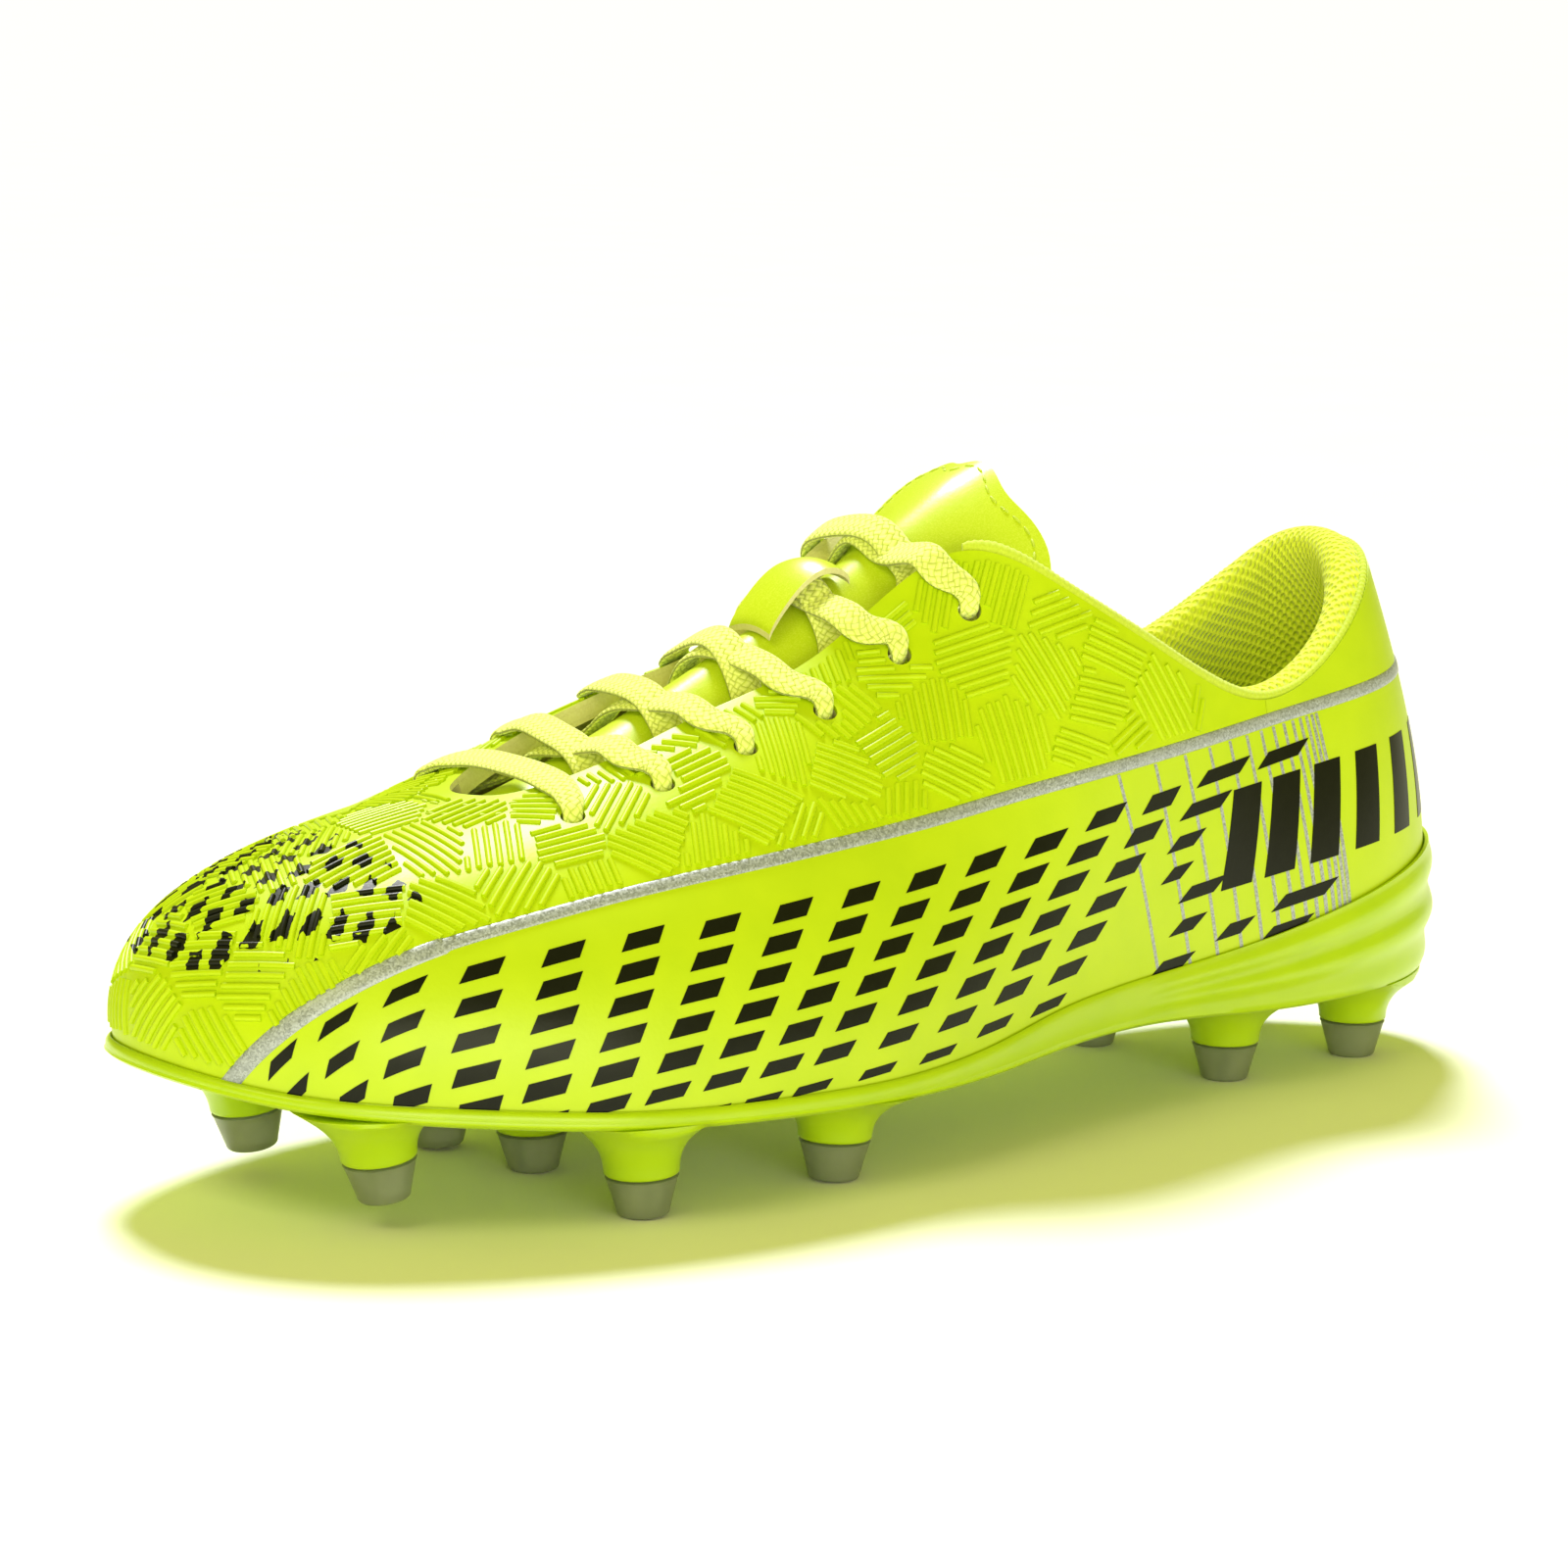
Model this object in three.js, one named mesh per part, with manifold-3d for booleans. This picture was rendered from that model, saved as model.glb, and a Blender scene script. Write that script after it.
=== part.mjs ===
// Firm-ground soccer cleat, left shoe, laced, standing on its studs.
// Millimetres, +Z up. X runs from the toe (-) to the heel (+), -Y is the lateral side
// and +Y the medial side. The origin is on the ground, under the middle of the shoe.
import * as THREE from 'three';
import { mergeVertices } from 'three/addons/utils/BufferGeometryUtils.js';
import Module from 'manifold-3d';

const wasm = await Module();
wasm.setup();

const HALF_LENGTH = 141.7;
const RAY_COUNT = 24;
const GAP = 0.3;
const LAYER_GAP = 0.6;
const PANEL = 1;
const STIFFENER = 0.7;
const LINING = 0.8;
const STIFFENER_DEPTH = PANEL + LAYER_GAP;
const LINING_DEPTH = STIFFENER_DEPTH + STIFFENER + LAYER_GAP;
const INSIDE_DEPTH = LINING_DEPTH + LINING;

// The upper is drawn by 24 rays round the shoe. Ray 0 is the heel centre, 1 to 11 the
// lateral side, 12 the toe tip, 13 to 23 the medial side. Each ray is a Bezier curve:
// foot  = where it leaves the sole (distance from the toe, y, z)
// top   = where it ends at the throat or the topline (distance from the toe, y, z)
// bulge = handles: out and up from the foot, out and down from the top
// marks = heights of the sole's edge and of the line between side panel and vamp
const RAYS = [
  { foot: [280, 0, 18], top: [266, 0, 101], bulge: [5, 28, 8, 25], marks: [43, 78] },
  { foot: [271, -20, 18], top: [260, -15, 97], bulge: [5, 26, 8, 24], marks: [42, 76.5] },
  { foot: [249, -31, 17.6], top: [245, -24, 84.5], bulge: [5, 22, 6, 18], marks: [37, 74] },
  { foot: [220, -33, 17.6], top: [222, -28, 75.5], bulge: [4, 20, 4, 16], marks: [31, 71] },
  { foot: [192, -34, 19], top: [197, -29, 86], bulge: [4, 24, 5, 20], marks: [27.5, 68.4] },
  { foot: [166, -38, 18.5], top: [174, -25, 100], bulge: [4, 28, 8, 18], marks: [25, 66] },
  { foot: [145, -43, 17.2], top: [156, -14, 106], bulge: [4, 28, 10, 16], marks: [21.5, 63.3] },
  { foot: [120, -48, 17], top: [132, -9, 90], bulge: [4, 26, 18, 10], marks: [19.7, 60.7] },
  { foot: [94, -49.4, 17.8], top: [108, -8, 81], bulge: [4, 26, 24, 8], marks: [20, 58.8] },
  { foot: [66, -47, 19.2], top: [86, -7, 73.5], bulge: [4, 24, 26, 7], marks: [21, 56] },
  { foot: [38, -37, 21.5], top: [71, -3, 69], bulge: [4, 24, 31, 7], marks: [23.3, 51.8] },
  { foot: [15, -21, 24.2], top: [66, 2, 68], bulge: [4, 24, 38, 7], marks: [25.6, 40.3] },
  { foot: [3, 3, 27], top: [65, 6, 68], bulge: [4, 25, 45, 8], marks: [28.5, 12] },
  { foot: [6, 25, 27], top: [67, 10, 68], bulge: [4, 23, 42, 9], marks: [28.5, 21] },
  { foot: [24, 39, 24.3], top: [72, 15, 69], bulge: [4, 22, 34, 9], marks: [26, 45] },
  { foot: [54, 48, 20.8], top: [86, 19, 74], bulge: [4, 22, 28, 7], marks: [22.5, 53.5] },
  { foot: [88, 49.2, 18.8], top: [108, 19, 81.5], bulge: [4, 24, 22, 8], marks: [21, 57.5] },
  { foot: [118, 44, 18], top: [132, 19, 90], bulge: [4, 24, 16, 10], marks: [22, 60.5] },
  { foot: [145, 37, 18], top: [156, 20, 106], bulge: [4, 26, 10, 16], marks: [26, 63.5] },
  { foot: [170, 32, 19], top: [174, 26, 100], bulge: [4, 28, 8, 18], marks: [30, 66] },
  { foot: [196, 31, 19.5], top: [197, 28, 87], bulge: [4, 24, 5, 20], marks: [29, 68.5] },
  { foot: [222, 32, 18.5], top: [222, 27, 77], bulge: [4, 20, 4, 16], marks: [29, 71.5] },
  { foot: [250, 30, 18], top: [246, 23, 86], bulge: [5, 22, 6, 18], marks: [35, 74] },
  { foot: [271, 19, 18], top: [260, 14, 98], bulge: [5, 26, 8, 24], marks: [41, 76.5] },
];

// Colours and finishes
const NEON = { color: 0xc6dc2a, roughness: 0.38 };
const SOLE_TPU = { color: 0xa9c90c, roughness: 0.3 };
const SMOKED_TPU = { color: 0x6f7a58, roughness: 0.35 };
const MESH_CLOTH = { color: 0xcddf52, roughness: 0.85 };
const FOAM = { color: 0xd8d2ae, roughness: 0.95 };
const STIFF_BOARD = { color: 0xb9ad92, roughness: 0.9 };
const LACE_CORD = { color: 0xdcee5c, roughness: 0.7 };
const CLEAR_FILM = { color: 0xd9e884, roughness: 0.25 };

// ---------------------------------------------------------------- the upper's surface

const SPLINE_PASSES = 40;

// Control values of the closed cubic B-spline that passes through every row.
function closedSpline(rows) {
  const knots = rows.map((row) => [...row]);
  for (let pass = 0; pass < SPLINE_PASSES; pass += 1) {
    rows.forEach((row, i) => {
      const before = knots[(i + rows.length - 1) % rows.length];
      const after = knots[(i + 1) % rows.length];
      knots[i] = row.map((value, k) => (6 * value - before[k] - after[k]) / 4);
    });
  }
  return knots;
}

const KNOTS = closedSpline(RAYS.map((r) => [...r.foot, ...r.top, ...r.bulge, ...r.marks]));

function blendKnots(u, weights) {
  const start = Math.floor(u);
  const f = u - start;
  const w = weights(f);
  return KNOTS[0].map((_, k) => w.reduce((sum, weight, j) => {
    const row = KNOTS[(((start + j - 1) % RAY_COUNT) + RAY_COUNT) % RAY_COUNT];
    return sum + weight * row[k];
  }, 0));
}

const rayValues = (u) => blendKnots(u, (f) => [
  (1 - f) ** 3 / 6, (3 * f ** 3 - 6 * f ** 2 + 4) / 6,
  (-3 * f ** 3 + 3 * f ** 2 + 3 * f + 1) / 6, f ** 3 / 6,
]);

const raySlopes = (u) => blendKnots(u, (f) => [
  -((1 - f) ** 2) / 2, (9 * f ** 2 - 12 * f) / 6,
  (-9 * f ** 2 + 6 * f + 3) / 6, f ** 2 / 2,
]);

// Point of the outer surface: u counts rays round the shoe, v is 0 at the sole, 1 on top.
function skin(u, v) {
  const [ft, fy, fz, tt, ty, tz, footOut, footUp, topOut, topDown] = rayValues(u);
  const [slopeX, slopeY] = raySlopes(u);
  const out = new THREE.Vector3(-slopeY, slopeX, 0).normalize();
  const foot = new THREE.Vector3(ft - HALF_LENGTH, fy, fz);
  const top = new THREE.Vector3(tt - HALF_LENGTH, ty, tz);
  const low = foot.clone().addScaledVector(out, footOut);
  low.z += footUp;
  const high = top.clone().addScaledVector(out, topOut);
  high.z -= topDown;
  const w = 1 - v;
  return foot.multiplyScalar(w ** 3)
    .addScaledVector(low, 3 * w * w * v)
    .addScaledVector(high, 3 * w * v * v)
    .addScaledVector(top, v ** 3);
}

function alongRing(u, v) {
  const step = 0.01;
  return skin(u + step, v).sub(skin(u - step, v)).normalize();
}

function outward(u, v) {
  const step = 0.01;
  const up = skin(u, Math.min(v + step, 1)).sub(skin(u, Math.max(v - step, 0)));
  return up.cross(alongRing(u, v)).normalize();
}

// The same point, sunk below the surface by depth (raised above it when negative).
const sunk = (u, v, depth) => skin(u, v).addScaledVector(outward(u, v), -depth);

// The share v at which a ray reaches height z.
function shareAtHeight(u, z) {
  let low = 0;
  let high = 0.97;
  for (let i = 0; i < 24; i += 1) {
    const middle = (low + high) / 2;
    if (skin(u, middle).z < z) low = middle;
    else high = middle;
  }
  return low;
}

const soleEdge = (u) => shareAtHeight(u, rayValues(u)[10]);
const panelLine = (u) => shareAtHeight(u, rayValues(u)[11]);

// ---------------------------------------------------------------- building solids

// A closed geometry with its faces turned outwards.
function geometryFrom(points, triangles) {
  const volume = triangles.reduce((sum, [a, b, c]) => (
    sum + points[a].dot(points[b].clone().cross(points[c]))
  ), 0);
  const turned = volume < 0 ? triangles.map(([a, b, c]) => [a, c, b]) : triangles;
  const geometry = new THREE.BufferGeometry();
  const flat = points.flatMap((p) => [p.x, p.y, p.z]);
  geometry.setAttribute('position', new THREE.Float32BufferAttribute(flat, 3));
  geometry.setIndex(turned.flat());
  return geometry;
}

function toSolid(source) {
  const bare = source.clone();
  bare.deleteAttribute('normal');
  bare.deleteAttribute('uv');
  const merged = mergeVertices(bare, 1e-4);
  return new wasm.Manifold(new wasm.Mesh({
    numProp: 3,
    vertProperties: new Float32Array(merged.getAttribute('position').array),
    triVerts: new Uint32Array(merged.getIndex().array),
  }));
}

function fromSolid(solid) {
  const mesh = solid.getMesh();
  const geometry = new THREE.BufferGeometry();
  geometry.setAttribute('position', new THREE.BufferAttribute(mesh.vertProperties, 3));
  geometry.setIndex(new THREE.BufferAttribute(mesh.triVerts, 1));
  return geometry;
}

const cut = (geometry, tools) => fromSolid(
  tools.reduce((solid, tool) => solid.subtract(toSolid(tool)), toSolid(geometry)),
);

const join = (geometries) => fromSolid(
  geometries.slice(1).reduce((solid, g) => solid.add(toSolid(g)), toSolid(geometries[0])),
);

// A closed sheet: point(i, j, side) over a grid, side 0 outside and 1 inside.
function sheet(columns, rows, point) {
  const across = columns + 1;
  const points = [];
  for (let side = 0; side < 2; side += 1) {
    for (let i = 0; i < across; i += 1) {
      for (let j = 0; j <= rows; j += 1) points.push(point(i / columns, j / rows, side));
    }
  }
  const at = (i, j, side) => (side * across + i) * (rows + 1) + j;
  const triangles = [];
  const quad = (a, b, c, d) => triangles.push([a, b, c], [a, c, d]);
  for (let i = 0; i < columns; i += 1) {
    for (let j = 0; j < rows; j += 1) {
      quad(at(i, j, 0), at(i, j + 1, 0), at(i + 1, j + 1, 0), at(i + 1, j, 0));
      quad(at(i, j, 1), at(i + 1, j, 1), at(i + 1, j + 1, 1), at(i, j + 1, 1));
    }
    quad(at(i, 0, 0), at(i + 1, 0, 0), at(i + 1, 0, 1), at(i, 0, 1));
    quad(at(i, rows, 0), at(i, rows, 1), at(i + 1, rows, 1), at(i + 1, rows, 0));
  }
  for (let j = 0; j < rows; j += 1) {
    quad(at(0, j, 0), at(0, j, 1), at(0, j + 1, 1), at(0, j + 1, 0));
    quad(at(columns, j, 0), at(columns, j + 1, 0), at(columns, j + 1, 1), at(columns, j, 1));
  }
  return geometryFrom(points, triangles);
}

// A layer of the upper between rays u0 and u1, from share low(u) to share high(u). Its
// columns fall on whole steps of a ray, so that layers keep their distance.
function layer({ u0, u1, low, high, outer, inner, rows, step = 0.5 }) {
  const first = Math.ceil(u0 / step + 0.2);
  const last = Math.floor(u1 / step - 0.2);
  const lines = [u0];
  for (let k = first; k <= last; k += 1) lines.push(k * step);
  lines.push(u1);
  const columns = lines.length - 1;
  return sheet(columns, rows, (s, r, side) => {
    const u = lines[Math.round(s * columns)];
    const v = THREE.MathUtils.lerp(low(u), high(u), r);
    const depth = side === 0 ? outer(u, v) : inner(u, v);
    return sunk(u, v, depth);
  });
}

// A solid of stacked closed rings; the first and last are closed by strips that run
// straight across the shoe. rings[k](u) gives ring k's point on ray u.
function ringSolid(count, rings) {
  const points = [];
  rings.forEach((ring) => {
    for (let i = 0; i < count; i += 1) points.push(ring((i * RAY_COUNT) / count));
  });
  const at = (k, i) => k * count + (i % count);
  const triangles = [];
  for (let k = 0; k + 1 < rings.length; k += 1) {
    for (let i = 0; i < count; i += 1) {
      triangles.push([at(k, i), at(k + 1, i), at(k + 1, i + 1)]);
      triangles.push([at(k, i), at(k + 1, i + 1), at(k, i + 1)]);
    }
  }
  const last = rings.length - 1;
  for (let i = 0; i < count / 2; i += 1) {
    const mate = count - i;
    if (i > 0) {
      triangles.push([at(0, i), at(0, i + 1), at(0, mate)]);
      triangles.push([at(last, i), at(last, mate), at(last, i + 1)]);
    }
    if (i + 1 < count / 2) {
      triangles.push([at(0, i + 1), at(0, mate - 1), at(0, mate)]);
      triangles.push([at(last, i + 1), at(last, mate), at(last, mate - 1)]);
    }
  }
  return geometryFrom(points, triangles);
}

const meshOf = (name, geometry, { color, roughness }) => {
  const material = new THREE.MeshStandardMaterial({ color, roughness, metalness: 0 });
  const mesh = new THREE.Mesh(geometry, material);
  mesh.name = name;
  return mesh;
};

// ---------------------------------------------------------------- sole unit

const FLOOR_THICKNESS = 1.8;
const RIM = 1.6;
const TIP_HEIGHT = 7;
const TIP_FOOT_RADIUS = 4.6;
const TIP_TOP_RADIUS = 6.3;
const SEAT_RADIUS = 6.5;

// Where each stud meets the ground: distance from the toe, y, height of its lowest face
// and lean towards the toe in degrees. The toe studs stand clear of the ground.
const STUDS = {
  toe_medial: [32, 23, 4.8, -8],
  toe_lateral: [32.5, -19.5, 4.5, -8],
  ball_medial: [70, 22, 0.4, -3],
  ball_centre: [75, -1, 0, -2],
  ball_lateral: [73, -37.5, 0, -3],
  waist_lateral: [114.5, -36.5, 0, 2],
  waist_medial: [113, 34, 0, 2],
  heel_front_lateral: [223, -18.5, 0, 0],
  heel_front_medial: [221, 18.5, 0, 0],
  heel_rear_lateral: [257.5, -17.5, 0, 0],
  heel_rear_medial: [257, 16.5, 0, 0],
};

const plateBottom = (u) => rayValues(u)[2] - FLOOR_THICKNESS;

// Height of the plate's underside at a distance from the toe.
function plateBottomAt(distance) {
  let u = 12;
  while (u > 0.25 && rayValues(u)[0] < distance) u -= 0.1;
  return plateBottom(u);
}

function placeStud(geometry, [distance, y, z, lean]) {
  geometry.rotateX(Math.PI / 2);
  geometry.rotateY(THREE.MathUtils.degToRad(lean));
  const drop = TIP_FOOT_RADIUS * Math.abs(Math.sin(THREE.MathUtils.degToRad(lean)));
  geometry.translate(distance - HALF_LENGTH, y, z + drop);
  return geometry;
}

const latheOf = (profile, sides) => new THREE.LatheGeometry(
  profile.map(([r, h]) => new THREE.Vector2(r, h)), sides,
);

function studTip(stud) {
  const flat = stud[3] === 0 ? 0.5 : 0.9;
  return placeStud(latheOf([
    [0, 0], [TIP_FOOT_RADIUS - flat, 0], [TIP_FOOT_RADIUS, flat],
    [TIP_TOP_RADIUS, TIP_HEIGHT], [0, TIP_HEIGHT],
  ], 14), stud);
}

function studTower(stud) {
  const root = plateBottomAt(stud[0]) + 0.8 - stud[2];
  const base = TIP_HEIGHT + GAP;
  const rise = root - base;
  return placeStud(latheOf([
    [0, base], [SEAT_RADIUS, base], [SEAT_RADIUS + 0.5, base + rise * 0.45],
    [SEAT_RADIUS + 1.8, base + rise * 0.75], [SEAT_RADIUS + 4.2, root - 1.1],
    [SEAT_RADIUS - 1, root - 0.1], [0, root - 0.1],
  ], 14), stud);
}

function outsole() {
  const edgePoint = (u, depth) => sunk(u, soleEdge(u), depth);
  const footPoint = (u, depth, drop) => {
    const p = sunk(u, 0, depth);
    p.z = rayValues(u)[2] - drop;
    return p;
  };
  const middle = (u) => sunk(u, soleEdge(u) * 0.5, -GAP - RIM);
  const plate = ringSolid(48, [
    (u) => footPoint(u, 3, FLOOR_THICKNESS),
    (u) => footPoint(u, -GAP - RIM * 0.7, FLOOR_THICKNESS * 0.6),
    middle,
    (u) => edgePoint(u, -GAP - RIM * 0.9),
    (u) => edgePoint(u, -GAP - 0.2),
    (u) => sunk(u, soleEdge(u) * 0.5, -GAP - 0.1),
    (u) => footPoint(u, -GAP - 0.1, GAP),
  ]);
  return join([plate, ...Object.values(STUDS).map(studTower)]);
}

// A flat insert that lies inside the upper, between heights above the plate's floor.
function insert(inset, underside, topside) {
  const edge = (height) => (u) => {
    const p = sunk(u, 0.05, inset);
    p.z = rayValues(u)[2] + height;
    return p;
  };
  return ringSolid(48, [edge(underside), edge(topside)]);
}

// ---------------------------------------------------------------- upper

const TOPLINE = 0.985;
const PANEL_GAP = 0.005;
const HEEL_SEAM = 3;
const SIDE_TOE_END = 11.42;
const SIDE_TOE_END_MEDIAL = 13.22;
const EYELET_SHARE = 0.83;
const EYELET_RADIUS = 3.1;
const EYELETS = [9.5, 8.72, 8, 7.27, 6.6, 5.97];

const lateralRay = (u) => u;
const medialRay = (u) => RAY_COUNT - u;

// Punches for the eyelets, straight through every layer of the upper.
function eyeletPunches(side) {
  return EYELETS.map((ray) => {
    const u = side(ray);
    const punch = new THREE.CylinderGeometry(EYELET_RADIUS, EYELET_RADIUS, 14, 8);
    const axis = outward(u, EYELET_SHARE);
    punch.applyQuaternion(new THREE.Quaternion().setFromUnitVectors(
      new THREE.Vector3(0, 1, 0), axis,
    ));
    const centre = skin(u, EYELET_SHARE);
    return punch.translate(centre.x, centre.y, centre.z);
  });
}

const ALL_PUNCHES = [...eyeletPunches(lateralRay), ...eyeletPunches(medialRay)];

const panel = (u0, u1, low, high, rows) => layer({
  u0, u1, low, high, rows, outer: () => 0, inner: () => PANEL,
});

const embossedVamp = () => cut(
  panel(HEEL_SEAM, RAY_COUNT - HEEL_SEAM, (u) => panelLine(u) + PANEL_GAP, () => TOPLINE, 9),
  ALL_PUNCHES,
);

const heelUpper = () => panel(
  PANEL_GAP - HEEL_SEAM, HEEL_SEAM - PANEL_GAP,
  (u) => panelLine(u) + PANEL_GAP, () => TOPLINE, 3,
);

const sidePanel = (u0, u1) => panel(u0, u1, () => 0, (u) => panelLine(u) - PANEL_GAP, 4);

const toePuff = () => layer({
  u0: 10, u1: 14.5, rows: 8, low: () => 0.03, high: () => 0.55,
  outer: () => STIFFENER_DEPTH + 0.8, inner: () => STIFFENER_DEPTH + STIFFENER + 0.4,
});

const heelCounter = () => layer({
  u0: -3.5, u1: 3.5, rows: 5, low: () => 0.02, high: () => 0.6,
  outer: () => STIFFENER_DEPTH, inner: () => STIFFENER_DEPTH + STIFFENER,
});

function eyestay(side) {
  const ends = [side(5.6), side(10.2)].sort((a, b) => a - b);
  return cut(layer({
    u0: ends[0], u1: ends[1], rows: 2, low: () => 0.72, high: () => TOPLINE,
    outer: () => STIFFENER_DEPTH, inner: () => STIFFENER_DEPTH + STIFFENER,
  }), eyeletPunches(side));
}

const COLLAR_FRONT = 5.2;
const PAD_FOOT = 0.5;
const PAD_TOP = 0.95;

// Extra thickness of the collar's foam: full behind the ankle, thin at the front.
function padding(u, v) {
  const round = Math.min(Math.abs(u), Math.abs(RAY_COUNT - u)) / COLLAR_FRONT;
  const height = THREE.MathUtils.clamp((v - PAD_FOOT) / (PAD_TOP - PAD_FOOT), 0, 1);
  const swell = Math.sin(Math.PI * height ** 1.25) ** 0.8;
  return 5.5 * Math.max(0, 1 - round ** 2.2) * swell;
}

const collarPadding = () => layer({
  u0: -4.5, u1: 4.5, rows: 6, low: () => PAD_FOOT + 0.02, high: () => PAD_TOP - 0.02,
  outer: () => LINING_DEPTH, inner: (u, v) => LINING_DEPTH + 0.4 + padding((u + 24) % 24, v),
});

const padClearance = (u, v) => LINING_DEPTH + 0.4 + GAP + padding((u + 24) % 24, v);

const collarLining = () => layer({
  u0: -COLLAR_FRONT, u1: COLLAR_FRONT, rows: 10, low: () => 0.03, high: () => TOPLINE,
  outer: padClearance, inner: (u, v) => padClearance(u, v) + LINING,
});

const vampLining = () => cut(layer({
  u0: COLLAR_FRONT + 0.05, u1: RAY_COUNT - COLLAR_FRONT - 0.05, rows: 7,
  low: () => 0.03, high: () => TOPLINE,
  outer: () => LINING_DEPTH, inner: () => INSIDE_DEPTH,
}), ALL_PUNCHES);

// ---------------------------------------------------------------- swept cords and tapes

// Sweeps a closed section along a list of stations {at, across, width, height}.
function sweep(stations, sides) {
  const points = [];
  const count = stations.length;
  stations.forEach((station, i) => {
    const before = stations[Math.max(i - 1, 0)].at;
    const after = stations[Math.min(i + 1, count - 1)].at;
    const tangent = after.clone().sub(before).normalize();
    const across = station.across.clone().projectOnPlane(tangent).normalize();
    const normal = tangent.clone().cross(across);
    for (let k = 0; k < sides; k += 1) {
      const angle = (2 * Math.PI * (k + 0.5)) / sides;
      points.push(station.at.clone()
        .addScaledVector(across, (Math.cos(angle) * station.width) / 2)
        .addScaledVector(normal, (Math.sin(angle) * station.height) / 2));
    }
  });
  const triangles = [];
  const at = (i, k) => i * sides + (k % sides);
  for (let i = 0; i + 1 < count; i += 1) {
    for (let k = 0; k < sides; k += 1) {
      triangles.push([at(i, k), at(i, k + 1), at(i + 1, k + 1)]);
      triangles.push([at(i, k), at(i + 1, k + 1), at(i + 1, k)]);
    }
  }
  for (let k = 1; k + 1 < sides; k += 1) {
    triangles.push([at(0, 0), at(0, k + 1), at(0, k)]);
    triangles.push([at(count - 1, 0), at(count - 1, k), at(count - 1, k + 1)]);
  }
  return geometryFrom(points, triangles);
}

const BINDING_RADIUS = 1.7;

function collarBinding() {
  const steps = 46;
  const stations = [];
  for (let i = 0; i <= steps; i += 1) {
    const u = THREE.MathUtils.lerp(-5.85, 5.85, i / steps);
    const up = skin(u, 1).sub(skin(u, 0.97)).normalize();
    const at = sunk(u, 1, 2.1).addScaledVector(up, 1.2);
    const size = BINDING_RADIUS * 2;
    stations.push({ at, across: outward(u, 1), width: size, height: size });
  }
  return sweep(stations, 8);
}

// ---------------------------------------------------------------- tongue

// Stations up the tongue: distance from the toe, crown y and z, reach to the lateral
// and to the medial edge, and how strongly its sides droop.
const TONGUE = [
  [60, 6, 60, 11, 11, 5],
  [72, 6, 65.5, 16, 14, 7],
  [90, 5.5, 73.4, 19, 15, 10.5],
  [110, 5.5, 82.8, 16, 10.3, 16],
  [132, 5.5, 93.6, 17.5, 8.5, 18],
  [148, 5, 102, 17, 8.5, 17],
  [160, 4.5, 109.6, 17, 12, 14],
  [170, 5, 115.5, 21, 14, 11.5],
  [179, 6, 119, 25, 15, 10.5],
];
const TONGUE_STEPS = TONGUE.length - 1;
const DROOP_WIDTH = 10;
const TONGUE_COVER = 1;
const TONGUE_PAD = 1.6;
const FLAP_START = 6.25;

function tongueRow(s) {
  const i = Math.min(Math.floor(s), TONGUE_STEPS - 1);
  const f = s - i;
  const row = (k) => TONGUE[THREE.MathUtils.clamp(k, 0, TONGUE_STEPS)];
  return TONGUE[0].map((_, k) => {
    const [a, b, c, d] = [row(i - 1)[k], row(i)[k], row(i + 1)[k], row(i + 2)[k]];
    return b + 0.5 * f * (c - a + f * (2 * a - 5 * b + 4 * c - d + f * (3 * (b - c) + d - a)));
  });
}

// Top of the tongue at station s, w from -1 at the lateral edge to 1 at the medial edge.
function tongueTop(s, w, depth = 0) {
  const [distance, y, z, lateral, medial, sag] = tongueRow(s);
  const reach = w < 0 ? w * lateral : w * medial;
  const droop = sag * (Math.sqrt(1 + (reach / DROOP_WIDTH) ** 2) - 1);
  const tilt = Math.atan2(droop, Math.abs(reach) + 1) * Math.sign(w);
  return new THREE.Vector3(
    distance - HALF_LENGTH + depth * 0.45,
    y + reach - depth * Math.sin(tilt),
    z - droop - depth * 0.9 * Math.cos(tilt),
  );
}

// A layer of the tongue between two stations. Its deeper side is set back towards the
// heel, so the slit between tongue and flap leans with the tongue.
const tongueSlice = (s0, s1, rows, top, bottom) => sheet(rows, 8, (a, b, side) => {
  const s = THREE.MathUtils.lerp(s0, s1, a);
  return tongueTop(s, THREE.MathUtils.lerp(-1, 1, b), side === 0 ? top : bottom);
});

const coverSlice = (s0, s1, rows) => tongueSlice(s0, s1, rows, 0, TONGUE_COVER);
const padSlice = (s0, s1, rows) => tongueSlice(
  s0, s1, rows, TONGUE_COVER + GAP, TONGUE_COVER + GAP + TONGUE_PAD,
);

// The lace keeper: a strap that bows over the tongue, open at both sides.
function laceKeeper() {
  const strapWidth = 13;
  const arch = 5.4;
  return sheet(10, 1, (a, b, side) => {
    const s = THREE.MathUtils.lerp(3.72, 4.72, a);
    const p = tongueTop(s, 0, -GAP);
    p.y += THREE.MathUtils.lerp(-strapWidth / 2, strapWidth / 2, b);
    p.z += arch * Math.sin(Math.PI * a) ** 0.7 + (side === 0 ? 0.9 : 0) + 0.25;
    return p;
  });
}

// ---------------------------------------------------------------- lace

const LACE_WIDTH = 6.4;
const LACE_HEIGHT = 1.5;
const OVER = { width: LACE_WIDTH, height: LACE_HEIGHT };
const PINCHED = { width: 3.6, height: 1.8 };
const HALF_PINCHED = { width: 5, height: 1.7 };
const UNDER_DEPTH = INSIDE_DEPTH + 1.75;
const REST_LIFT = -1.15;
// Heights over the tongue: near the throat's edge, beside the crown and on the crown,
// for a strand that runs beneath and for one that runs over it.
const LEAVING_LIFT = 3.2;
const BENEATH = { side: 2.1, crown: 2 };
const ABOVE = { side: 3.3, crown: 3.9 };
const CLIMB = 1.4;

const lacePoint = (at, shape, across) => ({ at, across, ...shape });

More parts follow.
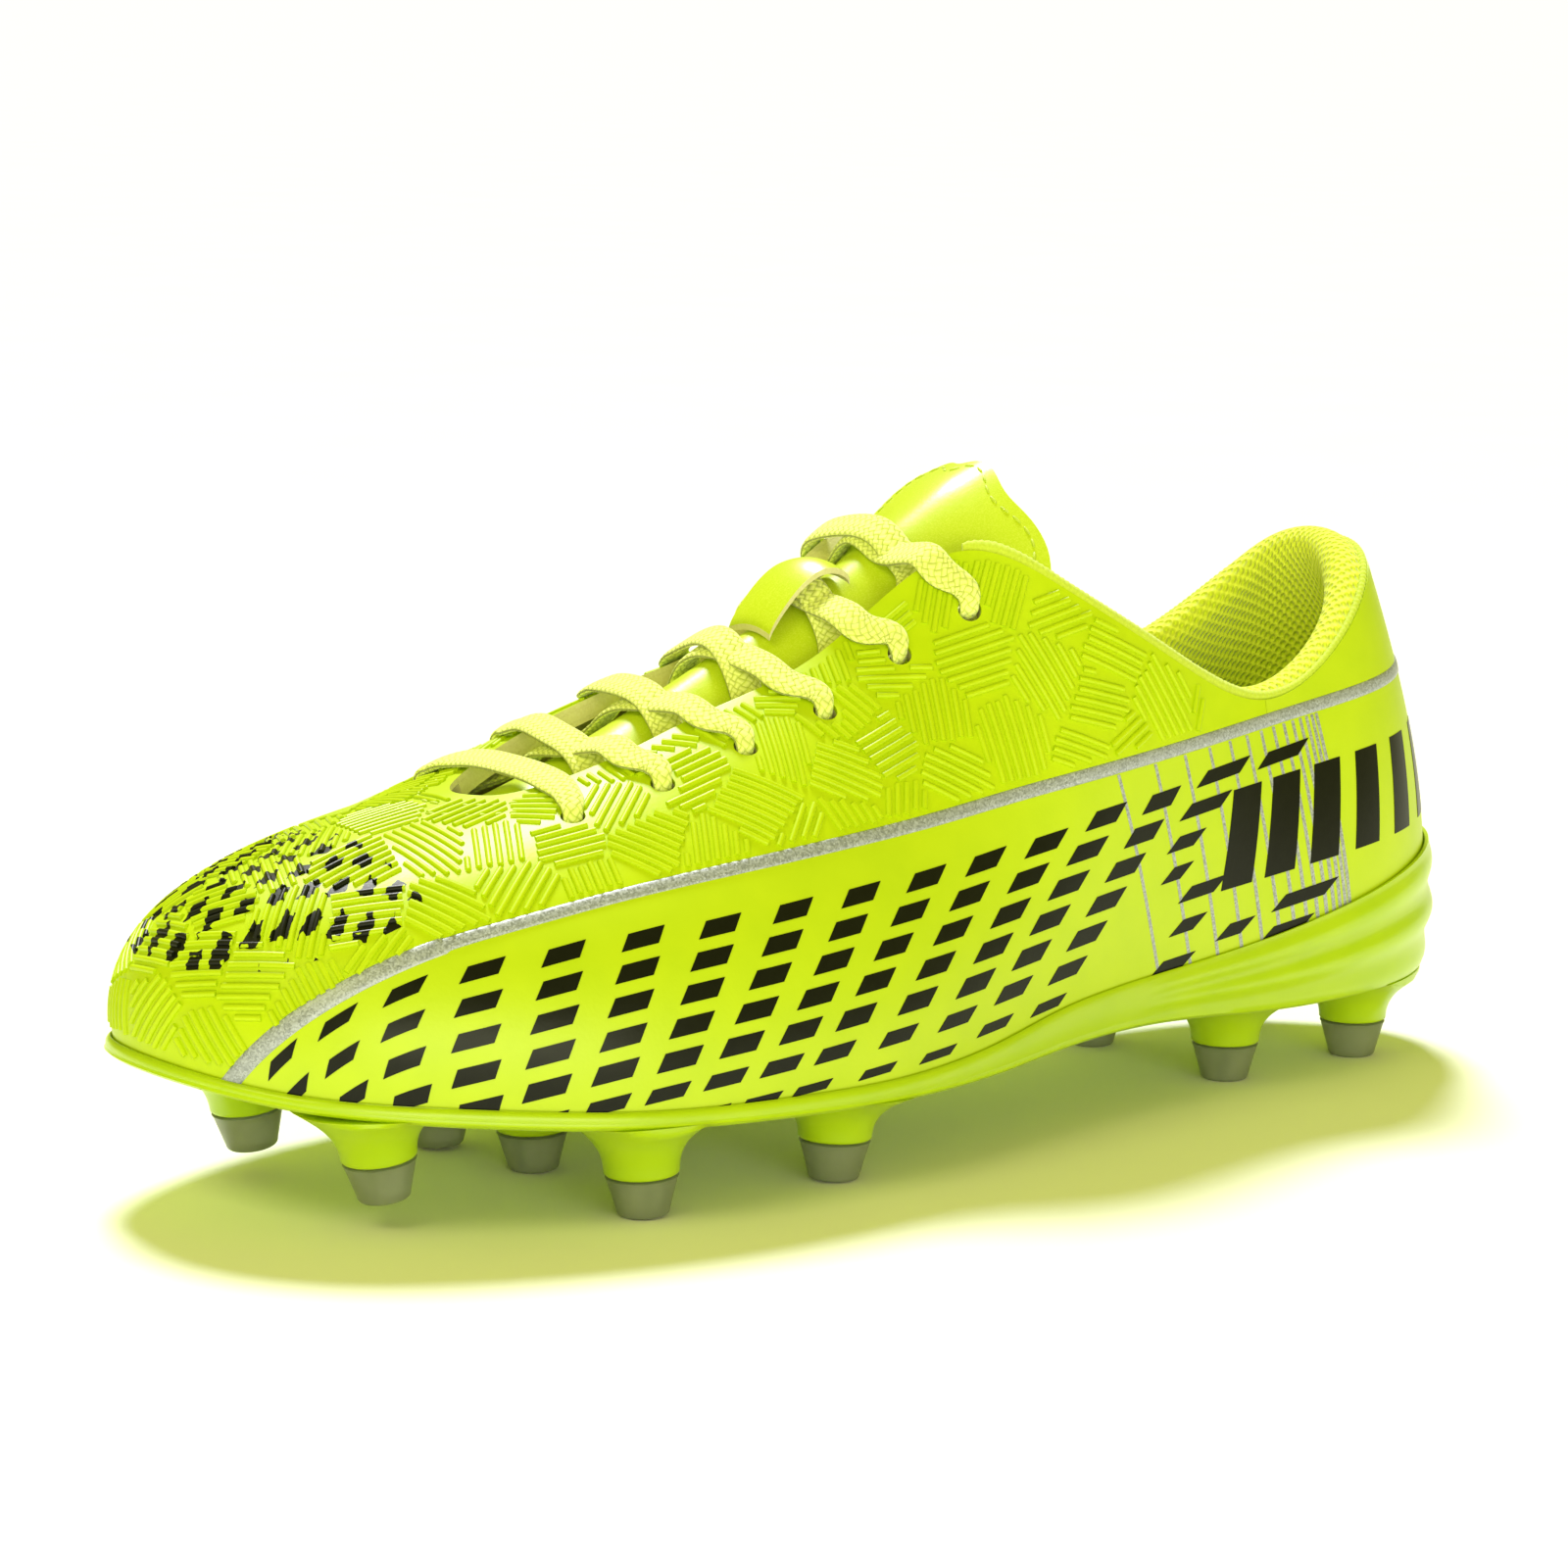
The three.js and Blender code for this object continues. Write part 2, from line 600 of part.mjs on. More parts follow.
// The direction towards the heel along the upper on a side of the shoe.
const heelward = (side, u, v) => alongRing(u, v).multiplyScalar(side(1) === 1 ? -1 : 1);

// From outside, down through an eyelet, and back under the upper towards the throat.
function throughEyelet(side, index) {
  const u = side(EYELETS[index]);
  const toHeel = side(EYELETS[index] - 0.2) - u;
  const across = heelward(side, u, EYELET_SHARE);
  return [
    lacePoint(sunk(u, EYELET_SHARE + 0.05, REST_LIFT - 0.15), HALF_PINCHED, across),
    lacePoint(sunk(u, EYELET_SHARE + 0.006, -0.2), PINCHED, across),
    lacePoint(sunk(u, EYELET_SHARE, 3.2), PINCHED, across),
    lacePoint(sunk(u + toHeel * 0.3, EYELET_SHARE + 0.03, UNDER_DEPTH + 0.1), HALF_PINCHED, across),
    lacePoint(sunk(u + toHeel * 1.1, 0.93, UNDER_DEPTH + 0.2), OVER, across),
  ];
}

// The top of the tongue under or over a place, lifted along z.
function overTongue(place, lift) {
  const next = TONGUE.findIndex((row) => row[0] - HALF_LENGTH > place.x);
  const [near, far] = [TONGUE[next - 1][0], TONGUE[next][0]];
  const s = next - 1 + (place.x + HALF_LENGTH - near) / (far - near);
  const [, crown, , lateral, medial] = tongueRow(s);
  const aside = place.y - crown;
  const w = aside / (aside < 0 ? lateral : medial);
  const top = tongueTop(s, w);
  const across = tongueTop(s + 0.2, w).sub(tongueTop(s - 0.2, w));
  return lacePoint(new THREE.Vector3(place.x, place.y, top.z + lift), OVER, across);
}

// From the throat's edge on one side, over the tongue, to an eyelet on the other side.
function crossing(from, to, index, raised) {
  const start = from(EYELETS[index] - 0.36);
  const end = to(EYELETS[index + 1] + 0.18);
  const under = sunk(start, 1, UNDER_DEPTH);
  const landing = sunk(end, 0.95, REST_LIFT - 0.1);
  const edge = sunk(end, 1, REST_LIFT - 0.5);
  const lift = raised ? ABOVE : BENEATH;
  return [
    lacePoint(under, OVER, heelward(from, start, 0.98)),
    overTongue(under.clone().lerp(edge, 0.16), LEAVING_LIFT),
    overTongue(under.clone().lerp(edge, 0.33), lift.side),
    overTongue(under.clone().lerp(edge, 0.54), lift.crown),
    overTongue(under.clone().lerp(edge, 0.75), lift.side + CLIMB),
    lacePoint(edge, OVER, heelward(to, end, 0.99)),
    lacePoint(landing, OVER, heelward(to, end, 0.96)),
  ];
}

// The loose end inside: along the lining, forward under the eyelet row.
function tail(side) {
  const share = 0.6;
  const wall = new THREE.Vector3(0, 0, 1);
  const rays = [6.15, 6.5, 7, 7.5, 8, 8.5];
  return rays.map((ray, i) => lacePoint(
    sunk(side(ray), share - (i === 0 ? -0.1 : 0), UNDER_DEPTH + 1.6),
    i === 0 ? HALF_PINCHED : OVER, wall,
  ));
}

function laceHalf(first, second, raisedFirst) {
  const sides = [first, second];
  const points = [];
  for (let index = 0; index < EYELETS.length; index += 1) {
    const near = sides[index % 2];
    const far = sides[(index + 1) % 2];
    points.push(...throughEyelet(near, index));
    if (index + 1 < EYELETS.length) {
      points.push(...crossing(near, far, index, near === raisedFirst));
    }
  }
  points.pop();
  points.push(...tail(sides[(EYELETS.length - 1) % 2]));
  return points;
}

// The straight bar over the foot of the throat, between the two lowest eyelets.
function bar() {
  const ends = [lateralRay, medialRay].map((side) => {
    const u = side(EYELETS[0] + 0.12);
    return lacePoint(sunk(u, 0.97, REST_LIFT), OVER, heelward(side, u, 0.97));
  });
  const middle = ends[0].at.clone().lerp(ends[1].at, 0.5);
  middle.z += 0.8;
  const along = ends[0].across.clone().lerp(ends[1].across, 0.5);
  return [ends[0], lacePoint(middle, OVER, along), ends[1]];
}

function laceStations() {
  const lateral = laceHalf(lateralRay, medialRay, lateralRay);
  const medial = laceHalf(medialRay, lateralRay, lateralRay);
  const controls = [...lateral.reverse(), ...bar(), ...medial];
  const curve = new THREE.CatmullRomCurve3(controls.map((c) => c.at), false, 'centripetal');
  const spans = controls.length - 1;
  const perSpan = 2;
  const stations = [];
  for (let i = 0; i <= spans * perSpan; i += 1) {
    const place = i / perSpan;
    const k = Math.min(Math.floor(place), spans - 1);
    const f = place - k;
    const mix = (key) => THREE.MathUtils.lerp(controls[k][key], controls[k + 1][key], f);
    stations.push({
      at: curve.getPoint(place / spans),
      across: controls[k].across.clone().lerp(controls[k + 1].across, f),
      width: mix('width'),
      height: mix('height'),
    });
  }
  return stations;
}

// The plastic tip on a loose end, just past the lace.
function aglet(stations) {
  const [end, before] = stations;
  const along = end.at.clone().sub(before.at).normalize();
  const step = (length) => ({
    at: end.at.clone().addScaledVector(along, length), across: end.across, width: 3.4, height: 2.6,
  });
  return sweep([step(GAP), step(8), step(16)], 8);
}

// ---------------------------------------------------------------- the whole shoe

const cleat = new THREE.Group();
const shell = new THREE.Group();
const insides = new THREE.Group();
const fastening = new THREE.Group();
cleat.add(shell, insides, fastening);

shell.add(meshOf('outsole_plate', outsole(), SOLE_TPU));
Object.entries(STUDS).forEach(([place, stud]) => {
  shell.add(meshOf(`stud_tip_${place}`, studTip(stud), SMOKED_TPU));
});
shell.add(meshOf('vamp_embossed', embossedVamp(), NEON));
shell.add(meshOf('side_panel_lateral', sidePanel(PANEL_GAP, SIDE_TOE_END), NEON));
shell.add(meshOf('side_panel_medial', sidePanel(SIDE_TOE_END_MEDIAL, RAY_COUNT - PANEL_GAP), NEON));
shell.add(meshOf('heel_upper', heelUpper(), NEON));
shell.add(meshOf('collar_binding', collarBinding(), MESH_CLOTH));

insides.add(meshOf('lasting_board', insert(INSIDE_DEPTH + GAP, GAP, 2.1), STIFF_BOARD));
insides.add(meshOf('sockliner', insert(INSIDE_DEPTH + 1.2, 2.4, 5.6), FOAM));
insides.add(meshOf('toe_puff', toePuff(), STIFF_BOARD));
insides.add(meshOf('heel_counter', heelCounter(), STIFF_BOARD));
insides.add(meshOf('collar_padding', collarPadding(), FOAM));
insides.add(meshOf('collar_lining', collarLining(), MESH_CLOTH));
insides.add(meshOf('vamp_lining', vampLining(), FOAM));

fastening.add(meshOf('eyestay_lateral', eyestay(lateralRay), STIFF_BOARD));
fastening.add(meshOf('eyestay_medial', eyestay(medialRay), STIFF_BOARD));
fastening.add(meshOf('tongue', coverSlice(0, FLAP_START, 12), NEON));
fastening.add(meshOf('tongue_pad', padSlice(0, FLAP_START, 12), FOAM));
fastening.add(meshOf('tongue_flap', coverSlice(FLAP_START + 0.06, TONGUE_STEPS, 5), NEON));
fastening.add(meshOf('tongue_flap_pad', padSlice(FLAP_START + 0.06, TONGUE_STEPS, 5), FOAM));
fastening.add(meshOf('lace_keeper', laceKeeper(), NEON));

const stations = laceStations();
fastening.add(meshOf('lace', sweep(stations, 6), LACE_CORD));
fastening.add(meshOf('aglet_medial', aglet(stations), CLEAR_FILM));
fastening.add(meshOf('aglet_lateral', aglet([...stations].reverse()), CLEAR_FILM));

export default cleat;
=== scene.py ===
import math
from collections import namedtuple

import bpy
import numpy as np
from mathutils import Matrix, Vector


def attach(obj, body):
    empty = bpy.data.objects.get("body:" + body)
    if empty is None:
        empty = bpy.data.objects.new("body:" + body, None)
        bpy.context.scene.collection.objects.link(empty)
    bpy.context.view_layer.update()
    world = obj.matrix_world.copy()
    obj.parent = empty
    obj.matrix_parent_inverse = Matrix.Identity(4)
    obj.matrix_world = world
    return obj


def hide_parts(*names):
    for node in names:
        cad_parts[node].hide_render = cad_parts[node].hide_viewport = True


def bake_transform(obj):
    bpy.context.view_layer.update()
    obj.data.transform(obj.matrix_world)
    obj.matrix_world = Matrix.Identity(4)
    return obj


# Laced firm-ground soccer cleat, left shoe. Lengths below are in millimetres until a
# mesh is made; X runs from the toe (-) to the heel (+), -Y is the lateral side.
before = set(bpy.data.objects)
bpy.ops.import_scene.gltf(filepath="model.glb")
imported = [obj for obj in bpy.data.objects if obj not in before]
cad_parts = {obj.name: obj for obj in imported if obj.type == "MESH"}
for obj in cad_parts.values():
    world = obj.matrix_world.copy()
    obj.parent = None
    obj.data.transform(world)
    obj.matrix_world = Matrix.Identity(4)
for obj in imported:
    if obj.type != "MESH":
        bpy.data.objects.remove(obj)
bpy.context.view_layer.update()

MM = 0.001
SHOE = "shoe"
RNG = np.random.default_rng(7)

# ------------------------------------------------------------------ camera and light

CAMERA_PLACE = (-517.4, -671.5, 209.3)
CAMERA_TURN = math.radians(-37)
CAMERA_PITCH = math.radians(9.84)
CAMERA_ROLL = math.radians(0.57)
LENS_MM = 108


def make_camera():
    data = bpy.data.cameras.new("camera")
    data.lens = LENS_MM
    data.sensor_width = 36
    data.clip_start = 0.05
    data.clip_end = 200
    camera = bpy.data.objects.new("camera", data)
    bpy.context.scene.collection.objects.link(camera)
    level = math.cos(CAMERA_PITCH)
    ahead = Vector((-math.sin(CAMERA_TURN) * level, math.cos(CAMERA_TURN) * level,
                    -math.sin(CAMERA_PITCH)))
    right = Vector((math.cos(CAMERA_TURN), math.sin(CAMERA_TURN), 0))
    up = right.cross(ahead)
    cosine, sine = math.cos(CAMERA_ROLL), math.sin(CAMERA_ROLL)
    across, above = right * cosine + up * sine, up * cosine - right * sine
    turn = Matrix((across, above, -ahead)).transposed()
    camera.matrix_world = Matrix.Translation(Vector(CAMERA_PLACE) * MM) @ turn.to_4x4()
    bpy.context.scene.camera = camera


def softbox(name, place, size, watts, colour):
    data = bpy.data.lights.new(name, "AREA")
    data.shape = "RECTANGLE"
    data.size, data.size_y = size
    data.energy = watts
    data.color = colour
    light = bpy.data.objects.new(name, data)
    light.location = place
    light.rotation_euler = (-Vector(place)).to_track_quat("-Z", "Y").to_euler()
    bpy.context.scene.collection.objects.link(light)


def distant_key(place, strength, spread):
    """A far, soft light, so that the whole floor is lit evenly."""
    data = bpy.data.lights.new("distant_key", "SUN")
    data.energy = strength
    data.angle = math.radians(spread)
    light = bpy.data.objects.new("distant_key", data)
    light.rotation_euler = (-Vector(place)).to_track_quat("-Z", "Y").to_euler()
    bpy.context.scene.collection.objects.link(light)


make_camera()
distant_key(place=(0.30, 0.62, 1.0), strength=3.75, spread=14)
softbox("left_softbox", place=(-0.95, -0.25, 0.95), size=(0.7, 0.35), watts=4.0,
        colour=(1.0, 1.0, 0.35))
softbox("front_fill", place=(-0.5, -1.5, 0.28), size=(1.5, 0.5), watts=11.2,
        colour=(1.0, 1.0, 0.72))
bpy.context.scene.view_settings.view_transform = "Standard"

# ------------------------------------------------------------------ materials


def linear(code):
    """An sRGB hex colour as linear light, with full alpha."""
    parts = [int(code[i:i + 2], 16) / 255 for i in (0, 2, 4)]
    return (*[p / 12.92 if p <= 0.04045 else ((p + 0.055) / 1.055) ** 2.4 for p in parts], 1.0)


def add(material, kind, inputs=None, **settings):
    """Adds a node; an input that is a socket is linked, any other is its value."""
    tree = material.node_tree
    node = tree.nodes.new(kind)
    for key, value in settings.items():
        setattr(node, key, value)
    for key, value in (inputs or {}).items():
        if isinstance(value, bpy.types.NodeSocket):
            tree.links.new(value, node.inputs[key])
        else:
            node.inputs[key].default_value = value
    return node


def new_material(name, **shader):
    material = bpy.data.materials.new(name)
    material.use_nodes = True
    gloss = material.node_tree.nodes["Principled BSDF"]
    for key, value in shader.items():
        gloss.inputs[key.replace("_", " ")].default_value = value
    return material, gloss


def link(material, source, target):
    material.node_tree.links.new(source, target)


def place(material, source="Object"):
    return add(material, "ShaderNodeTexCoord").outputs[source]


def grain(material, where, size_mm, detail=2.0):
    """Fine noise whose lumps are about size_mm across."""
    return add(material, "ShaderNodeTexNoise",
               {"Vector": where, "Scale": 1 / (size_mm * MM), "Detail": detail}).outputs["Fac"]


def blend_colours(material, share, first, second):
    mix = add(material, "ShaderNodeMix", {"Factor": share, "A": first, "B": second},
              data_type="RGBA")
    return mix.outputs["Result"]


def paint(material, gloss, share, first, second):
    """Base colour that runs from one hex colour to another as share goes from 0 to 1."""
    link(material, blend_colours(material, share, linear(first), linear(second)),
         gloss.inputs["Base Color"])


def arithmetic(material):
    """A function that adds one Math node to the material and gives its result."""
    def calc(operation, first, second=0.0, third=0.0):
        return add(material, "ShaderNodeMath", {0: first, 1: second, 2: third},
                   operation=operation).outputs[0]
    return calc


def band(material, value, low, high):
    """0 below low, 1 above high, straight between."""
    return add(material, "ShaderNodeMapRange",
               {"Value": value, "From Min": low, "From Max": high}).outputs["Result"]


def bump(material, gloss, height, depth_mm, strength=1.0):
    made = add(material, "ShaderNodeBump",
               {"Height": height, "Distance": depth_mm * MM, "Strength": strength})
    link(material, made.outputs["Normal"], gloss.inputs["Normal"])


def patchy(name, first, second, patch_mm, lump_mm=None, depth_mm=0.0, strength=0.5, **shader):
    """Two near colours in soft patches; lump and depth make the face slightly uneven."""
    material, gloss = new_material(name, **shader)
    where = place(material)
    paint(material, gloss, grain(material, where, patch_mm), first, second)
    if lump_mm:
        bump(material, gloss, grain(material, where, lump_mm, 3), depth_mm, strength)
    return material


def fibrous(name, first, second, fibre_mm, depth_mm, strength, detail=4, **shader):
    """Fibres or pores that set both the colour and the relief."""
    material, gloss = new_material(name, **shader)
    fibre = grain(material, place(material), fibre_mm, detail)
    paint(material, gloss, fibre, first, second)
    bump(material, gloss, fibre, depth_mm, strength)
    return material


NEON = "C4DA10"
NEON_DEEP = "B6D008"


def coated_knit():
    # Knit under a smooth polyurethane film: nearly even colour, soft broad gloss and a
    # very shallow orange peel.
    return patchy("film_coated_knit", NEON_DEEP, NEON, 9, 0.8, 0.05, Roughness=0.42)


# The toe print: centre of its round field and its radius, where it stops towards the
# throat, distances between its rows and columns, and how far it bows and wanders.
PRINT_X = -104.0
PRINT_Y = 9.0
PRINT_RADIUS = 33.0
PRINT_BACK = 1.0
PRINT_ROW = 5.4
PRINT_COLUMN = 6.3
PRINT_BOW = 0.013
PRINT_WANDER = 0.35


def toe_print(material):
    """Share of black: staggered rows of small arrow heads over the toe cap."""
    calc = arithmetic(material)
    spot = place(material)
    where = add(material, "ShaderNodeSeparateXYZ", {0: spot})
    wobble = add(material, "ShaderNodeTexNoise", {"Vector": spot, "Scale": 1 / (3 * MM)})
    shift = add(material, "ShaderNodeSeparateXYZ", {0: wobble.outputs["Color"]})
    x = calc("MULTIPLY_ADD", where.outputs["X"], 1 / MM, -PRINT_X)
    y = calc("MULTIPLY_ADD", where.outputs["Y"], 1 / MM, -PRINT_Y)
    x_squared, y_squared = calc("MULTIPLY", x, x), calc("MULTIPLY", y, y)
    bowed = calc("MULTIPLY_ADD", y_squared, PRINT_BOW, x)
    row = calc("MULTIPLY_ADD", bowed, 1 / PRINT_ROW,
               calc("MULTIPLY", shift.outputs["X"], PRINT_WANDER))
    stagger = calc("MULTIPLY", calc("FLOOR", row), 0.5)
    column = calc("ADD", calc("MULTIPLY_ADD", y, 1 / PRINT_COLUMN, stagger),
                  calc("MULTIPLY", shift.outputs["Y"], PRINT_WANDER))
    ahead = calc("FRACT", row)
    aside = calc("ABSOLUTE", calc("SUBTRACT", calc("FRACT", column), 0.5))
    head = calc("LESS_THAN", aside, calc("MULTIPLY_ADD", ahead, 0.5, -0.02))
    notch = calc("LESS_THAN", calc("ADD", ahead, aside), 0.97)
    reach = calc("SQRT", calc("ADD", x_squared, y_squared))
    field = calc("MULTIPLY", calc("LESS_THAN", reach, PRINT_RADIUS),
                 calc("LESS_THAN", x, PRINT_BACK))
    return calc("MULTIPLY", calc("MULTIPLY", head, notch), field)


def embossed_film():
    # The same film pressed in a hot mould: glossier than the flat panels, with the toe
    # print in black ink over the relief.
    material, gloss = new_material("embossed_film", Roughness=0.38, Specular_IOR_Level=0.22)
    where = place(material)
    film = blend_colours(material, grain(material, where, 6), linear(NEON_DEEP), linear(NEON))
    link(material, blend_colours(material, toe_print(material), film, linear("14160C")),
         gloss.inputs["Base Color"])
    bump(material, gloss, grain(material, where, 0.6, 3), 0.04, 0.5)
    return material


def silver_film():
    # Metallic flake film: grey flakes of about 0.3 mm that catch the light one by one.
    material, gloss = new_material("silver_flake_film", Roughness=0.38, Metallic=0.35)
    flake = add(material, "ShaderNodeTexVoronoi",
                {"Vector": place(material), "Scale": 1 / (0.3 * MM)})
    share = band(material, flake.outputs["Color"], 0.2, 0.9)
    paint(material, gloss, share, "9094A4", "C2C6D8")
    link(material, band(material, share, -0.9, 2.0), gloss.inputs["Roughness"])
    return material


def black_ink():
    # Screen-printed black ink: glossy, a little uneven where it was laid on.
    return patchy("screen_printed_ink", "0B0C07", "15170E", 2, 0.7, 0.03,
                  Roughness=0.3, Specular_IOR_Level=0.2)


def lace_braid():
    # Braided polyester: strands 1.5 mm wide pass over and under each other at 45 degrees,
    # matte with a soft sheen; the furrows between them are darkened with painted shade.
    material, gloss = new_material("polyester_braid", Roughness=0.75, Sheen_Weight=0.3)
    calc = arithmetic(material)
    flat = add(material, "ShaderNodeSeparateXYZ", {0: place(material, "UV")})
    strand = 1.5 * MM
    first = calc("DIVIDE", calc("ADD", flat.outputs["X"], flat.outputs["Y"]), strand)
    second = calc("DIVIDE", calc("SUBTRACT", flat.outputs["X"], flat.outputs["Y"]), strand)
    turn = calc("ADD", calc("FLOOR", first), calc("FLOOR", second))
    over = calc("PINGPONG", turn, 1.0)
    rise = []
    for way in (first, second):
        middle = calc("SUBTRACT", calc("FRACT", way), 0.5)
        furrow = calc("MULTIPLY", calc("MULTIPLY", middle, middle), 4.0)
        rise.append(calc("SUBTRACT", 1.0, furrow))
    height = calc("MULTIPLY_ADD", calc("SUBTRACT", rise[0], rise[1]), over, rise[1])
    # The colour follows the strands' height: painted shade in the furrows, paler crowns.
    paint(material, gloss, height, "CEDE44", "F6FC98")
    bump(material, gloss, height, 0.22)
    return material


def dimpled_mesh():
    # Spacer mesh: round dimples 1.6 mm apart in slanting rows, in a matte knit.
    material, gloss = new_material("spacer_mesh", Roughness=0.8, Sheen_Weight=0.25)
    flat = place(material, "UV")
    turned = add(material, "ShaderNodeMapping",
                 {"Vector": flat, "Rotation": (0, 0, math.radians(45))}).outputs["Vector"]
    hole = add(material, "ShaderNodeTexVoronoi",
               {"Vector": turned, "Scale": 1 / (1.6 * MM), "Randomness": 0.0},
               voronoi_dimensions="2D").outputs["Distance"]
    rise = band(material, hole, 0.15, 0.5)
    paint(material, gloss, rise, "E2F41C", "F2FC4C")
    bump(material, gloss, rise, 0.45)
    return material


def ribbed_knit():
    # Ribbed tape that binds the edge: matte, with a fine fibre grain.
    return fibrous("ribbed_binding", "B9CF1E", "D9E94E", 0.4, 0.1, 0.7, detail=3,
                   Roughness=0.8, Sheen_Weight=0.3)


def sparkle_film():
    # Pearl film over the tongue's foam in a strong gloss: fine specks in the film, painted
    # brighter than it as painted glints.
    material, gloss = new_material("pearl_film", Roughness=0.36, Coat_Weight=0.12,
                                   Coat_Roughness=0.2)
    where = place(material)
    # Fine specks in the film, their sparkle painted into the base colour as painted glints.
    speck_and_glint = band(material, grain(material, where, 0.28, 3), 0.45, 0.85)
    paint(material, gloss, speck_and_glint, "C6DC16", "DDEB50")
    bump(material, gloss, grain(material, where, 1.0, 3), 0.05, 0.5)
    return material


def cut_foam():
    # Cut edge and back of laminated foam: beige, open pores under half a millimetre.
    return fibrous("laminated_foam", "CFC88E", "E9E5BC", 0.5, 0.15, 0.8, Roughness=0.95)


def sole_tpu():
    # Injection-moulded polyurethane: a little light goes in, so it glows at thin edges.
    return patchy("moulded_tpu", "A8C806", "BAD60A", 12, 1.5, 0.04, 0.4, Roughness=0.33,
                  Subsurface_Weight=0.25, Subsurface_Scale=0.004,
                  Subsurface_Radius=(1.0, 1.0, 0.2), Coat_Weight=0.15, Coat_Roughness=0.2)


def smoked_tpu():
    # Clear grey-green polyurethane, satin from a blasted mould.
    return patchy("smoked_tpu", "8A917F", "A3A998", 5, 0.9, 0.05, Roughness=0.32,
                  Transmission_Weight=0.45, IOR=1.5)


def fibre_board():
    # Pressed fibre: dull, short fibres a millimetre long.
    return fibrous("fibre_board", "9E9173", "C4B894", 1.0, 0.1, 0.7, Roughness=0.9)


def insole_cloth():
    # Woven cover of the sockliner: plain weave with threads 2 mm apart.
    material, gloss = new_material("woven_insole_cloth", Roughness=0.85, Sheen_Weight=0.2)
    where = place(material)
    warp, weft = [add(material, "ShaderNodeTexWave", {"Vector": where, "Scale": 0.16 / MM},
                      bands_direction=way).outputs["Fac"] for way in "XY"]
    weave = arithmetic(material)("MULTIPLY", warp, weft)
    paint(material, gloss, weave, "A9BE1C", "CBDD3C")
    bump(material, gloss, weave, 0.15, 0.7)
    return material


def clear_film():
    # Wound acetate film, clear over the lace's end.
    return patchy("acetate_film", "CBDD55", "DDE97E", 1, Roughness=0.15, Coat_Weight=0.5)


def sewing_thread():
    # Bonded nylon thread, slightly paler than the film that it holds.
    return patchy("nylon_thread", "B7CC1E", "D8E95A", 0.3, Roughness=0.5, Sheen_Weight=0.2)


def studio_floor():
    # Matte white sweep of painted board.
    return patchy("matte_white_board", "F8F8F6", "FBFBFA", 60, Roughness=0.9)


KNIT = coated_knit()
EMBOSSED = embossed_film()
SILVER = silver_film()
INK = black_ink()
BRAID = lace_braid()
MESH = dimpled_mesh()
RIBBED = ribbed_knit()
PEARL = sparkle_film()
FOAM = cut_foam()
SOLE = sole_tpu()
SMOKED = smoked_tpu()
BOARD = fibre_board()
INSOLE = insole_cloth()
FILM = clear_film()
THREAD = sewing_thread()


# Light that comes back off the neon object and the board round it.
BOUNCE = (1.0, 1.0, 0.14, 1.0)
BOUNCE_STRENGTH = 0.42
FLOOR_HALF = 60.0


def make_studio():
    world = bpy.data.worlds.new("white_studio")
    bpy.context.scene.world = world
    world.use_nodes = True
    sky = world.node_tree.nodes["Background"]
    sky.inputs["Color"].default_value = BOUNCE
    sky.inputs["Strength"].default_value = BOUNCE_STRENGTH
    mesh = bpy.data.meshes.new("studio_floor")
    corners = [(x * FLOOR_HALF, y * FLOOR_HALF, 0)
               for x, y in ((-1, -1), (1, -1), (1, 1), (-1, 1))]
    mesh.from_pydata(corners, [], [(0, 1, 2, 3)])
    mesh.materials.append(studio_floor())
    floor = bpy.data.objects.new("studio_floor", mesh)
    bpy.context.scene.collection.objects.link(floor)


make_studio()

# ------------------------------------------------------------------ the upper's surface

HALF_LENGTH = 141.7
RAY_COUNT = 24
GAP = 0.3
PANEL = 1.0
LAYER_GAP = 0.6
STIFFENER = 0.7
LINING = 0.8
STIFFENER_DEPTH = PANEL + LAYER_GAP
LINING_DEPTH = STIFFENER_DEPTH + STIFFENER + LAYER_GAP
INSIDE_DEPTH = LINING_DEPTH + LINING
TOPLINE = 0.985
HEEL_SEAM = 3.0

